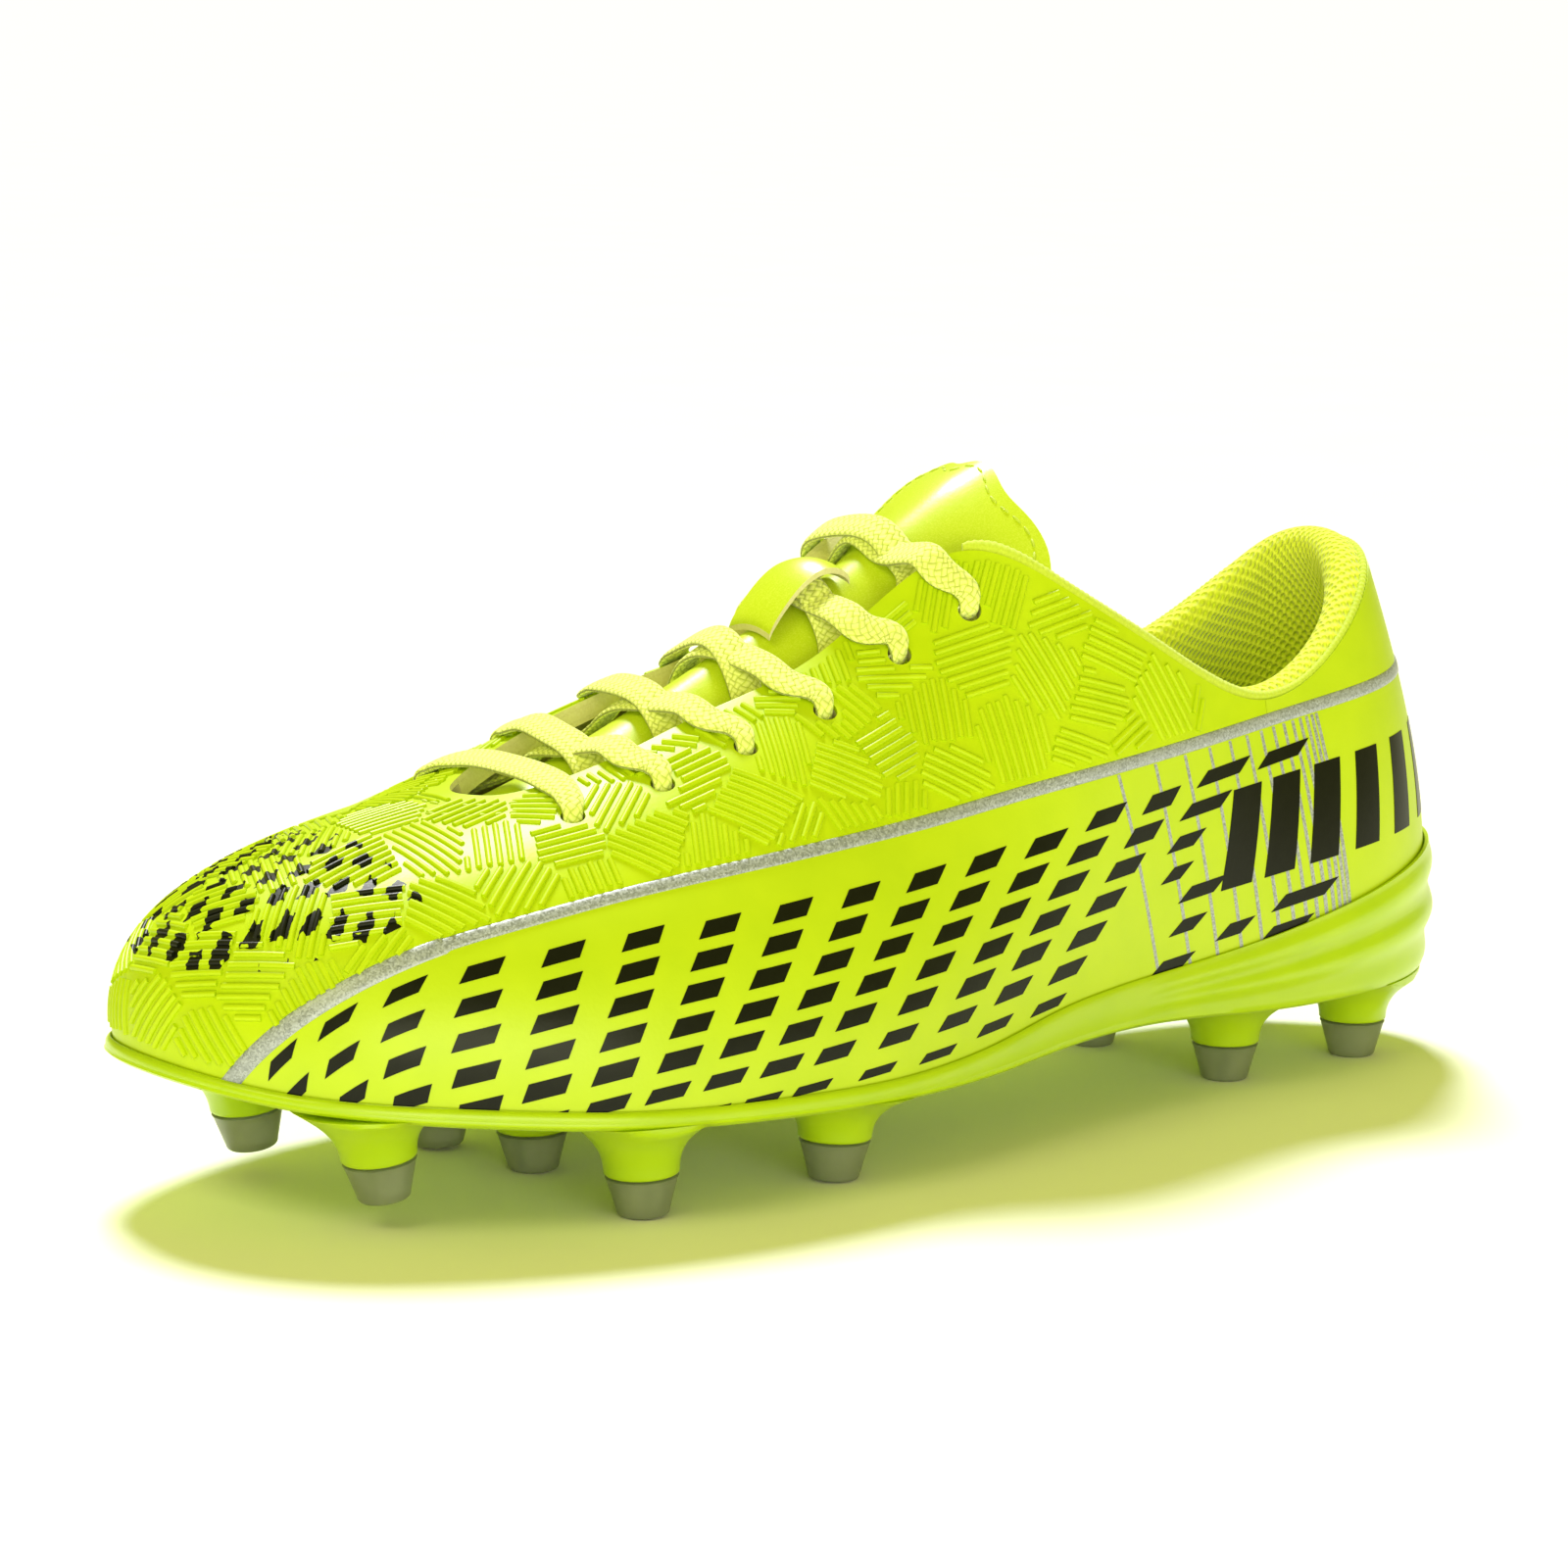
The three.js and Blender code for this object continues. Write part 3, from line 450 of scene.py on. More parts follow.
# Rays round the shoe: 0 heel centre, 1 to 11 lateral, 12 toe tip, 13 to 23 medial. Each
# has its foot and its top (distance from the toe, y, z), the handles of its curve (out
# and up from the foot, out and down from the top), the height of the sole's edge and
# that of the line between side panel and vamp.
RAYS = np.array([
    [280, 0, 18, 266, 0, 101, 5, 28, 8, 25, 43, 78],
    [271, -20, 18, 260, -15, 97, 5, 26, 8, 24, 42, 76.5],
    [249, -31, 17.6, 245, -24, 84.5, 5, 22, 6, 18, 37, 74],
    [220, -33, 17.6, 222, -28, 75.5, 4, 20, 4, 16, 31, 71],
    [192, -34, 19, 197, -29, 86, 4, 24, 5, 20, 27.5, 68.4],
    [166, -38, 18.5, 174, -25, 100, 4, 28, 8, 18, 25, 66],
    [145, -43, 17.2, 156, -14, 106, 4, 28, 10, 16, 21.5, 63.3],
    [120, -48, 17, 132, -9, 90, 4, 26, 18, 10, 19.7, 60.7],
    [94, -49.4, 17.8, 108, -8, 81, 4, 26, 24, 8, 20, 58.8],
    [66, -47, 19.2, 86, -7, 73.5, 4, 24, 26, 7, 21, 56],
    [38, -37, 21.5, 71, -3, 69, 4, 24, 31, 7, 23.3, 51.8],
    [15, -21, 24.2, 66, 2, 68, 4, 24, 38, 7, 25.6, 40.3],
    [3, 3, 27, 65, 6, 68, 4, 25, 45, 8, 28.5, 12],
    [6, 25, 27, 67, 10, 68, 4, 23, 42, 9, 28.5, 21],
    [24, 39, 24.3, 72, 15, 69, 4, 22, 34, 9, 26, 45],
    [54, 48, 20.8, 86, 19, 74, 4, 22, 28, 7, 22.5, 53.5],
    [88, 49.2, 18.8, 108, 19, 81.5, 4, 24, 22, 8, 21, 57.5],
    [118, 44, 18, 132, 19, 90, 4, 24, 16, 10, 22, 60.5],
    [145, 37, 18, 156, 20, 106, 4, 26, 10, 16, 26, 63.5],
    [170, 32, 19, 174, 26, 100, 4, 28, 8, 18, 30, 66],
    [196, 31, 19.5, 197, 28, 87, 4, 24, 5, 20, 29, 68.5],
    [222, 32, 18.5, 222, 27, 77, 4, 20, 4, 16, 29, 71.5],
    [250, 30, 18, 246, 23, 86, 5, 22, 6, 18, 35, 74],
    [271, 19, 18, 260, 14, 98, 5, 26, 8, 24, 41, 76.5],
])


def closed_spline(rows):
    """Control values of the closed cubic B-spline that passes through every row."""
    count = len(rows)
    weights = 4 * np.eye(count) + np.roll(np.eye(count), 1, 0) + np.roll(np.eye(count), -1, 0)
    return np.linalg.solve(weights, 6 * rows)


KNOTS = closed_spline(RAYS)


def blend_knots(u, weights):
    start = np.floor(u).astype(int)
    shares = weights((u - start)[..., None])
    return sum(w * KNOTS[(start + k - 1) % RAY_COUNT] for k, w in enumerate(shares))


def ray_values(u):
    return blend_knots(np.asarray(u, float), lambda f: (
        (1 - f) ** 3 / 6, (3 * f ** 3 - 6 * f ** 2 + 4) / 6,
        (-3 * f ** 3 + 3 * f ** 2 + 3 * f + 1) / 6, f ** 3 / 6))


def ray_slopes(u):
    return blend_knots(np.asarray(u, float), lambda f: (
        -(1 - f) ** 2 / 2, (9 * f ** 2 - 12 * f) / 6,
        (-9 * f ** 2 + 6 * f + 3) / 6, f ** 2 / 2))


def unit(vectors):
    return vectors / np.linalg.norm(vectors, axis=-1, keepdims=True)


def skin(u, v):
    """Points of the outer surface: u counts rays, v is 0 at the sole and 1 on top."""
    u, v = np.broadcast_arrays(np.asarray(u, float), np.asarray(v, float))
    values, slopes = ray_values(u), ray_slopes(u)
    out = unit(np.stack([-slopes[..., 1], slopes[..., 0], np.zeros_like(u)], -1))
    up = np.array([0, 0, 1.0])
    origin = np.array([HALF_LENGTH, 0, 0])
    foot, top = values[..., 0:3] - origin, values[..., 3:6] - origin
    low = foot + out * values[..., 6:7] + up * values[..., 7:8]
    high = top + out * values[..., 8:9] - up * values[..., 9:10]
    v = v[..., None]
    w = 1 - v
    return w ** 3 * foot + 3 * w * w * v * low + 3 * w * v * v * high + v ** 3 * top


def along_ring(u, v):
    step = 0.01
    return unit(skin(u + step, v) - skin(u - step, v))


def outward(u, v):
    step = 0.01
    v = np.asarray(v)
    up = skin(u, np.minimum(v + step, 1)) - skin(u, np.maximum(v - step, 0))
    return unit(np.cross(up, along_ring(u, v)))


def sunk(u, v, depth):
    """Points below the outer surface by depth, or above it when depth is negative."""
    depth = np.asarray(depth, float)[..., None]
    return skin(u, v) - outward(u, v) * depth


def share_at_height(u, z):
    low, high = np.zeros_like(u), np.full_like(u, 0.97)
    for _ in range(24):
        middle = (low + high) / 2
        below = skin(u, middle)[..., 2] < z
        low, high = np.where(below, middle, low), np.where(below, high, middle)
    return low


def sole_edge(u):
    u = np.asarray(u, float)
    return share_at_height(u, ray_values(u)[..., 10])


def panel_line(u):
    u = np.asarray(u, float)
    return share_at_height(u, ray_values(u)[..., 11])


# ------------------------------------------------------------------ making pieces

SHARP = math.radians(50)

# Points in millimetres, faces, each face's place in the list of materials, and the flat
# coordinates of the points, which woven and braided materials use.
Form = namedtuple("Form", "points faces shades flat", defaults=(None, None))


def piece(name, form, *materials, body=SHOE, slot=None, replaces=()):
    """A mesh object made of a form, riding on a body."""
    mesh = bpy.data.meshes.new(name)
    mesh.from_pydata((np.asarray(form.points) * MM).tolist(), [], form.faces)
    for material in materials:
        mesh.materials.append(material)
    if len(materials) > 1:
        mesh.polygons.foreach_set("material_index", form.shades)
    if form.flat is not None:
        corners = np.empty(len(mesh.loops), int)
        mesh.loops.foreach_get("vertex_index", corners)
        layer = mesh.uv_layers.new(name="cloth")
        layer.data.foreach_set("uv", (form.flat[corners] * MM).ravel())
    mesh.polygons.foreach_set("use_smooth", [True] * len(mesh.polygons))
    mesh.set_sharp_from_angle(angle=SHARP)
    mesh.update()
    made = bpy.data.objects.new(name, mesh)
    bpy.context.scene.collection.objects.link(made)
    if body:
        finish_piece(made, body, replaces)
    return made


def finish_piece(made, body, replaces=()):
    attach(made, body)
    if replaces:
        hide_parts(*replaces)


def quads(columns, rows, start=0, wrap=False):
    """Faces of a grid of points whose second index runs fastest."""
    faces = []
    for i in range(columns if wrap else columns - 1):
        near, far = start + i * rows, start + ((i + 1) % columns) * rows
        for j in range(rows - 1):
            faces.append((near + j, near + j + 1, far + j + 1, far + j))
    return faces


def run_along(points):
    """Distance along a line of points, from its start to each of them."""
    return np.r_[0, np.cumsum(np.linalg.norm(np.diff(points, axis=0), axis=1))]


def lengths(grid):
    """Distances along both directions of a grid of points, as flat coordinates."""
    across = np.zeros(grid.shape[:2])
    upward = np.zeros(grid.shape[:2])
    across[1:] = np.cumsum(np.linalg.norm(np.diff(grid, axis=0), axis=-1), axis=0)
    upward[:, 1:] = np.cumsum(np.linalg.norm(np.diff(grid, axis=1), axis=-1), axis=1)
    middle = across[:, grid.shape[1] // 2][:, None] + 0 * across
    return np.stack([middle, upward], -1).reshape(-1, 2)


def tube_faces(rings, sides, start=0):
    """Faces between the neighbouring rings of a tube."""
    faces = []
    for near in range(start, start + (rings - 1) * sides, sides):
        far = near + sides
        for k in range(sides):
            after = (k + 1) % sides
            faces.append((near + k, near + after, far + after, far + k))
    return faces


def fan_faces(ring, sides, tip, flip):
    """Triangles between the ring that starts at one index and a single point."""
    fan = [(ring + k, ring + (k + 1) % sides, tip) for k in range(sides)]
    return [(b, a, c) for a, b, c in fan] if flip else fan


def shell(outer, inner):
    """A closed sheet between two grids of points; its outside is its first material."""
    columns, rows = outer.shape[:2]
    count = columns * rows
    points = np.concatenate([outer.reshape(-1, 3), inner.reshape(-1, 3)])
    outside = quads(columns, rows)
    inside = [tuple(reversed(face)) for face in quads(columns, rows, count)]
    rims = []
    for i in range(columns - 1):
        a, b = i * rows, (i + 1) * rows
        rims.append((a, b, count + b, count + a))
        a, b = a + rows - 1, b + rows - 1
        rims.append((b, a, count + a, count + b))
    for j in range(rows - 1):
        a, b = j, j + 1
        rims.append((b, a, count + a, count + b))
        a, b = (columns - 1) * rows + j, (columns - 1) * rows + j + 1
        rims.append((a, b, count + b, count + a))
    faces = outside + inside + rims
    corners = points[np.array(outside)]
    normals = np.cross(corners[:, 2] - corners[:, 0], corners[:, 3] - corners[:, 1])
    thickness = corners[:, 0] - inner[:-1, :-1].reshape(-1, 3)
    if (normals * thickness).sum() < 0:
        faces = [tuple(reversed(face)) for face in faces]
    shades = [0] * len(outside) + [1] * (len(inside) + len(rims))
    return Form(points, faces, shades, np.concatenate([lengths(outer), lengths(inner)]))


def spanning_faces(count, rows, row, flip):
    """Faces straight across one closed row of a grid, each between two mirrored edges."""
    faces = []
    for i in range(count // 2):
        corners = list(dict.fromkeys([i, i + 1, count - i - 1, (count - i) % count]))
        if len(corners) > 2:
            face = tuple(c * rows + row for c in corners)
            faces.append(tuple(reversed(face)) if flip else face)
    return faces


def closed_slab(grid):
    """A solid ring of sections, closed straight across its first and its last row."""
    count, rows = grid.shape[:2]
    faces = [tuple(reversed(face)) for face in quads(count, rows, wrap=True)]
    faces += spanning_faces(count, rows, 0, flip=True)
    faces += spanning_faces(count, rows, rows - 1, flip=False)
    return Form(grid.reshape(-1, 3), faces)


def upper_layer(u0, u1, low, high, outer, inner, rows, step=0.08):
    """A layer of the upper between two rays, two lines of share and two depths."""
    u = np.linspace(u0, u1, int(round((u1 - u0) / step)) + 1)
    rise = np.linspace(0, 1, rows)
    bottom, top = low(u), high(u)
    v = bottom[:, None] + (top - bottom)[:, None] * rise[None]
    return shell(sunk(u[:, None], v, outer), sunk(u[:, None], v, inner))


def share(value):
    """A line round the shoe at one share of its height."""
    return lambda u: np.full(np.shape(u), float(value))


def evaluated(source, name):
    """The object with its modifiers applied, as a new plain mesh."""
    graph = bpy.context.evaluated_depsgraph_get()
    mesh = bpy.data.meshes.new_from_object(source.evaluated_get(graph))
    mesh.name = name
    source.modifiers.clear()
    made = bpy.data.objects.new(name, mesh)
    bpy.context.scene.collection.objects.link(made)
    bpy.data.objects.remove(source)
    return made


# ------------------------------------------------------------------ eyelets

EYELETS = [9.5, 8.72, 8, 7.27, 6.6, 5.97]
EYELET_SHARE = 0.83
EYELET_RADIUS = 2.2
PIN_REACH = 9


def lateral(ray):
    return ray


def medial(ray):
    return RAY_COUNT - ray


def ring_of(centre, axis, radius, count):
    side = unit(np.cross(axis, [0.3, 0.9, 0.2]))
    other = np.cross(axis, side)
    angles = np.arange(count) * 2 * np.pi / count
    return centre + radius * (np.cos(angles)[:, None] * side + np.sin(angles)[:, None] * other)


def eyelet_cutter(side):
    """Six long pins, one through each eyelet on a side of the throat."""
    count, points, faces = 20, [], []
    for ray in EYELETS:
        centre = skin(side(ray), EYELET_SHARE)
        axis = outward(side(ray), EYELET_SHARE)
        start = len(points)
        for end in (-PIN_REACH, PIN_REACH):
            points.extend(ring_of(centre + axis * end, axis, EYELET_RADIUS, count))
        faces += tube_faces(2, count, start)
        faces.append(tuple(reversed(range(start, start + count))))
        faces.append(tuple(range(start + count, start + 2 * count)))
    return piece(f"eyelet_pins_{side.__name__}", Form(points, faces), BOARD, body=None)


def punched(made, replaces):
    """The piece with its eyelets cut through."""
    for cutter in CUTTERS:
        modifier = made.modifiers.new("punch", "BOOLEAN")
        modifier.operation = "DIFFERENCE"
        modifier.solver = "MANIFOLD"
        modifier.object = cutter
    result = evaluated(made, made.name)
    result.data.set_sharp_from_angle(angle=SHARP)
    finish_piece(result, SHOE, replaces)


CUTTERS = [eyelet_cutter(lateral), eyelet_cutter(medial)]

# ------------------------------------------------------------------ upper pieces

PANEL_GAP = 0.005
SIDE_TOE_END = 11.42
SIDE_TOE_END_MEDIAL = 13.22
TOE_ENDS = {lateral: SIDE_TOE_END, medial: RAY_COUNT - SIDE_TOE_END_MEDIAL}


def above_line(u):
    return panel_line(u) + PANEL_GAP


def below_line(u):
    return panel_line(u) - PANEL_GAP


def make_vamp():
    """Toe, throat and quarters in one embossed part, above the silver stripe."""
    form = upper_layer(HEEL_SEAM, RAY_COUNT - HEEL_SEAM, above_line, share(TOPLINE), 0, PANEL,
                       44, step=0.06)
    made = piece("vamp_film", form, EMBOSSED, FOAM, body=None)
    punched(made, ["vamp_embossed"])


def make_side_panel(name, u0, u1, node):
    """A smooth printed panel from the sole up to the silver stripe."""
    form = upper_layer(u0, u1, share(0), below_line, 0, PANEL, 30)
    piece(name, form, KNIT, slot="coated_knit", replaces=[node])


def make_heel():
    """The smooth film round the back of the collar, above the silver stripe."""
    form = upper_layer(PANEL_GAP - HEEL_SEAM, HEEL_SEAM - PANEL_GAP, above_line, share(TOPLINE),
                       0, PANEL, 16)
    piece("heel_film", form, KNIT, slot="coated_knit", replaces=["heel_upper"])


def make_eyestay(side, node):
    """The stiff strip inside the throat's edge that carries six eyelets."""
    form = upper_layer(*sorted([side(5.6), side(10.2)]), share(0.72), share(TOPLINE),
                       PANEL + 0.02, LINING_DEPTH - 0.02, 12)
    made = piece(f"eyestay_foam_{side.__name__}", form, FOAM, body=None)
    punched(made, [node])


COLLAR_FRONT = 5.2
PAD_FOOT = 0.42
ROLL_SHARE = 0.975


def roll_radius(u):
    """Radius of the padded roll on the collar's edge: full behind the heel."""
    return 1.9 + 2.3 * np.maximum(0, 1 - (np.abs(u) / 4.4) ** 2)


def lining_depth(u, v):
    """Depth of the lining's face: the foam behind it swells towards the roll."""
    least = LINING_DEPTH + 0.4 + GAP
    height = np.clip((v - PAD_FOOT) / (ROLL_SHARE - PAD_FOOT), 0, 1)
    full = PANEL + 0.1 + 2 * roll_radius(u)
    return least + (full - least) * height ** 0.8 + 1.1 * np.sin(np.pi * height)


def collar_side(u, cut):
    """The collar's cloth from the film's edge, over the roll and down to the sole."""
    radius = roll_radius(u)
    up = unit(skin(u, 1) - skin(u, 0.97))
    out, centre = outward(u, ROLL_SHARE), sunk(u, ROLL_SHARE, PANEL + 0.1 + radius)
    rows = []
    for angle in np.radians(np.linspace(0, 180, 19)):
        rise = out * math.cos(angle) + up * math.sin(angle) * 1.12
        rows.append(centre + rise * (radius - cut)[:, None])
    for v in np.linspace(ROLL_SHARE, 0.03, 52)[1:]:
        rows.append(sunk(u, v, lining_depth(u, v) - cut))
    return np.stack(rows, 1)


def make_collar_lining():
    """Mesh that rolls over the collar's padding and runs down inside to the sole."""
    u = np.linspace(-COLLAR_FRONT, COLLAR_FRONT, 175)
    form = shell(collar_side(u, 0.0), collar_side(u, LINING))
    made = piece("collar_mesh", form, MESH, slot="mesh_lining",
                 replaces=["collar_lining", "collar_padding"])


def make_vamp_lining():
    """The cloth inside the forefoot, from the end of the collar's mesh forward."""
    form = upper_layer(COLLAR_FRONT + 0.05, RAY_COUNT - COLLAR_FRONT - 0.05, share(0.03),
                       share(TOPLINE), LINING_DEPTH, INSIDE_DEPTH, 40)
    made = piece("vamp_lining_cloth", form, FOAM, body=None)
    punched(made, ["vamp_lining"])


make_vamp()
make_side_panel("outer_side_panel", PANEL_GAP, SIDE_TOE_END, "side_panel_lateral")
make_side_panel("inner_side_panel", SIDE_TOE_END_MEDIAL, RAY_COUNT - PANEL_GAP,
                "side_panel_medial")
make_heel()
make_eyestay(lateral, "eyestay_lateral")
make_eyestay(medial, "eyestay_medial")
make_collar_lining()
make_vamp_lining()
for cutter in CUTTERS:
    bpy.data.objects.remove(cutter)

# ------------------------------------------------------------------ embossed ribs

CELL = 13.0
RIB_PITCH = 1.85
RIB_RADIUS = 0.6
RIB_SINK = 0.02
RIB_END = 0.5
RIB_STEP = 0.7
RIB_CAP = 0.3
RIB_TAPER = 0.35
RIB_REGION = 3.7
RIB_DIRECTIONS = np.radians([8, 52, 96, 140])
STRIPE_MARGIN = 2.4
EDGE_MARGIN = 2.2
TOP_MARGIN = 1.4
EYELET_MARGIN = 3.3
RIB_ROWS = 8
FARTHEST_FALL = 6
CELL_TRIES = 5000
CELL_SPACING = CELL * 0.82


def node_tree(name, sockets):
    """A geometry tree with its group input and output, and named inputs."""
    tree = bpy.data.node_groups.new(name, "GeometryNodeTree")
    tree.interface.new_socket("Geometry", in_out="INPUT", socket_type="NodeSocketGeometry")
    for label, kind in sockets:
        tree.interface.new_socket(label, in_out="INPUT", socket_type=kind)
    tree.interface.new_socket("Geometry", in_out="OUTPUT", socket_type="NodeSocketGeometry")
    return tree, tree.nodes.new("NodeGroupInput"), tree.nodes.new("NodeGroupOutput")


def grow(source, name, tree, values):
    """Runs a geometry tree on an object and returns the plain result."""
    modifier = source.modifiers.new("grow", "NODES")
    modifier.node_group = tree
    for item in tree.interface.items_tree:
        if item.in_out == "INPUT" and item.name in values:
            modifier[item.identifier] = values[item.name]
    return evaluated(source, name)


def rib_tree():
    """Round tubes with closed ends along every line."""
    tree, given, result = node_tree("raised_ribs", [
        ("Rib radius", "NodeSocketFloat"), ("Sides", "NodeSocketInt"),
        ("Material", "NodeSocketMaterial")])
    section = tree.nodes.new("GeometryNodeCurvePrimitiveCircle")
    tube = tree.nodes.new("GeometryNodeCurveToMesh")
    tube.inputs["Fill Caps"].default_value = True
    whole = tree.nodes.new("GeometryNodeRealizeInstances")
    coat = tree.nodes.new("GeometryNodeSetMaterial")
    smooth = tree.nodes.new("GeometryNodeSetShadeSmooth")
    for start, end in (
            (given.outputs["Rib radius"], section.inputs["Radius"]),
            (given.outputs["Sides"], section.inputs["Resolution"]),
            (given.outputs["Geometry"], tube.inputs["Curve"]),
            (section.outputs["Curve"], tube.inputs["Profile Curve"]),
            (tube.outputs["Mesh"], smooth.inputs["Geometry"]),
            (smooth.outputs["Geometry"], whole.inputs["Geometry"]),
            (whole.outputs["Geometry"], coat.inputs["Geometry"]),
            (given.outputs["Material"], coat.inputs["Material"]),
            (coat.outputs["Geometry"], result.inputs["Geometry"])):
        tree.links.new(start, end)
    return tree


def nearest_on_skin(points, u, v):
    """Moves (u, v) until the surface there lies under the points, seen along its normal."""
    for _ in range(5):
        step = 0.004
        at = skin(u, v)
        du = (skin(u + step, v) - at) / step
        dv = (skin(u, np.minimum(v + step, 1.0)) - at) / step
        miss = points - at
        a, b, c = (du * du).sum(-1), (du * dv).sum(-1), (dv * dv).sum(-1)
        p, q = (du * miss).sum(-1), (dv * miss).sum(-1)
        det = np.maximum(a * c - b * b, 1e-6)
        u = u + np.clip((c * p - b * q) / det, -0.6, 0.6)
        v = np.clip(v + np.clip((a * q - b * p) / det, -0.15, 0.15), 0.0, 0.995)
    return u, v


def cell_centres():
    """Places spread over the vamp, no two closer than the size of a cell."""
    u = RNG.uniform(RIB_REGION - 0.3, RAY_COUNT - RIB_REGION + 0.3, CELL_TRIES)
    low = np.maximum(panel_line(u), sole_edge(u) * 0.6)
    v = low + (0.99 - low) * RNG.uniform(0, 1, len(u))
    places = skin(u, v)
    kept = []
    for k, spot in enumerate(places):
        if not kept or np.min(np.linalg.norm(places[kept] - spot, axis=1)) > CELL_SPACING:
            kept.append(k)
    return u[kept], v[kept], places[kept]


def rib_directions(places):
    """A direction for each cell, unlike those of the cells beside it."""
    chosen = []
    for k, spot in enumerate(places):
        gaps = np.linalg.norm(places[:k] - spot, axis=1)
        beside = {chosen[i] for i in range(k) if gaps[i] < CELL * 1.5}
        free = [i for i in range(len(RIB_DIRECTIONS)) if i not in beside]
        chosen.append(int(RNG.choice(free or range(len(RIB_DIRECTIONS)))))
    return RIB_DIRECTIONS[chosen] + RNG.uniform(-0.22, 0.22, len(places))


def in_own_cell(on, spot, places):
    """True where a point lies in the cell round spot and off the furrow round it."""
    own = np.linalg.norm(on - spot, axis=-1)
    keep = np.ones(own.shape, bool)
    for other in places[np.linalg.norm(places - spot, axis=1) < CELL * 3.5]:
        apart = np.linalg.norm(other - spot)
        if apart > 0.1:
            away = np.linalg.norm(on - other, axis=-1)
            keep &= (away ** 2 - own ** 2) / (2 * apart) > RIB_END
    return keep


def clear_of_edges(on, u, v, eyelets):
    """True where a rib keeps its distance from stripe, sole, topline, seams and eyelets."""
    rise = skin(u, np.minimum(v + 0.01, 1)) - skin(u, v - 0.01)
    scale = np.linalg.norm(rise, axis=-1) / 0.02
    keep = (v - panel_line(u)) * scale > STRIPE_MARGIN
    keep &= (v - sole_edge(u)) * scale > EDGE_MARGIN
    keep &= (ROLL_SHARE - v) * scale > TOP_MARGIN
    keep &= (u > RIB_REGION) & (u < RAY_COUNT - RIB_REGION)
    for hole in eyelets:
        keep &= np.linalg.norm(on - hole, axis=-1) > EYELET_MARGIN
    return keep


def rib_lines():
    """The centre line of every rib, as a list of points on the surface."""
    us, vs, places = cell_centres()
    turns = rib_directions(places)
    eyelets = np.array([skin(side(ray), EYELET_SHARE)
                        for ray in EYELETS for side in (lateral, medial)])
    reach = np.arange(-CELL * 1.3, CELL * 1.3, RIB_STEP)
    rows = np.arange(-RIB_ROWS, RIB_ROWS + 1) * RIB_PITCH
    lines = []
    for u0, v0, spot, turn in zip(us, vs, places, turns):
        normal, ring = outward(u0, v0), along_ring(u0, v0)
        along = math.cos(turn) * ring + math.sin(turn) * np.cross(normal, ring)
        aside = np.cross(normal, along)
        grid = spot + rows[:, None, None] * aside + reach[None, :, None] * along
        u, v = nearest_on_skin(grid, u0, v0)
        on = skin(u, v)
        keep = in_own_cell(on, spot, places) & clear_of_edges(on, u, v, eyelets)
        keep &= np.linalg.norm(on - grid, axis=-1) < FARTHEST_FALL
        for raised, kept in zip(on - outward(u, v) * RIB_SINK, keep):
            lines.extend(runs_of(raised, kept))
    return lines


def runs_of(points, keep):
    """The unbroken stretches of a row of points that are at least four points long."""
    edges = np.flatnonzero(np.diff(np.concatenate([[0], keep.astype(int), [0]])))
    return [points[a:b] for a, b in zip(edges[::2], edges[1::2]) if b - a >= 4]


def thin_out(points, count):
    at = np.linspace(0, len(points) - 1, count)
    low = np.minimum(at.astype(int), len(points) - 2)
    share_on = (at - low)[:, None]
    return points[low] * (1 - share_on) + points[low + 1] * share_on


def curve_object(name, lines, radii=None):
    data = bpy.data.curves.new(name, "CURVE")
    data.dimensions = "3D"
    for points in lines:
        spline = data.splines.new("POLY")
        spline.points.add(len(points) - 1)
        spline.points.foreach_set("co", np.c_[points * MM, np.ones(len(points))].ravel())
        if radii is not None:
            spline.points.foreach_set("radius", radii(len(points)))
    made = bpy.data.objects.new(name, data)
    bpy.context.scene.collection.objects.link(made)
    return made


def make_ribs():
    """All the embossed ribs as one piece, each with a tapered end."""
    lines = []
    for points in rib_lines():
        body = thin_out(points, max(4, min(7, len(points) // 3 + 2)))
        start, end = unit(body[0] - body[1]), unit(body[-1] - body[-2])
        lines.append(np.vstack([body[0] + start * RIB_CAP, body, body[-1] + end * RIB_CAP]))
    source = curve_object("rib_lines", lines,
                          lambda n: np.r_[RIB_TAPER, np.full(n - 2, 1.0), RIB_TAPER])
    ribs = grow(source, "embossed_ribs", rib_tree(), {
        "Rib radius": RIB_RADIUS * MM, "Sides": 7, "Material": EMBOSSED})
    finish_piece(ribs, SHOE)


make_ribs()

# ------------------------------------------------------------------ stripe and prints


class SideMap:
    """Places on a side panel by distance along the stripe from its toe end, and by
    distance down from the stripe."""

    def __init__(self, side):
        self.rays = side(np.linspace(0.0, TOE_ENDS[side], 500)[::-1])
        self.lines = panel_line(self.rays)
        self.along = run_along(skin(self.rays, self.lines))

    def at(self, s, d):
        """Ray and share at s along the stripe and d below it."""
        s, d = np.broadcast_arrays(np.asarray(s, float), np.asarray(d, float))
        u = np.interp(s, self.along, self.rays)
        top = np.interp(s, self.along, self.lines)
        shares = np.linspace(0, 1, 50)
        v = top[..., None] * (1 - shares)
        path = skin(u[..., None], v)
        down = np.cumsum(np.linalg.norm(np.diff(path, axis=-2), axis=-1), axis=-1)
        down = np.concatenate([np.zeros_like(down[..., :1]), down], -1)
        below = np.maximum(d, 0)
        step = np.clip((down < below[..., None]).sum(-1), 1, 49)
        low = np.take_along_axis(down, (step - 1)[..., None], -1)[..., 0]
        high = np.take_along_axis(down, step[..., None], -1)[..., 0]
        part = np.clip((below - low) / np.maximum(high - low, 1e-6), 0, 1)
        return u, top * (1 - (step - 1 + part) / 49)


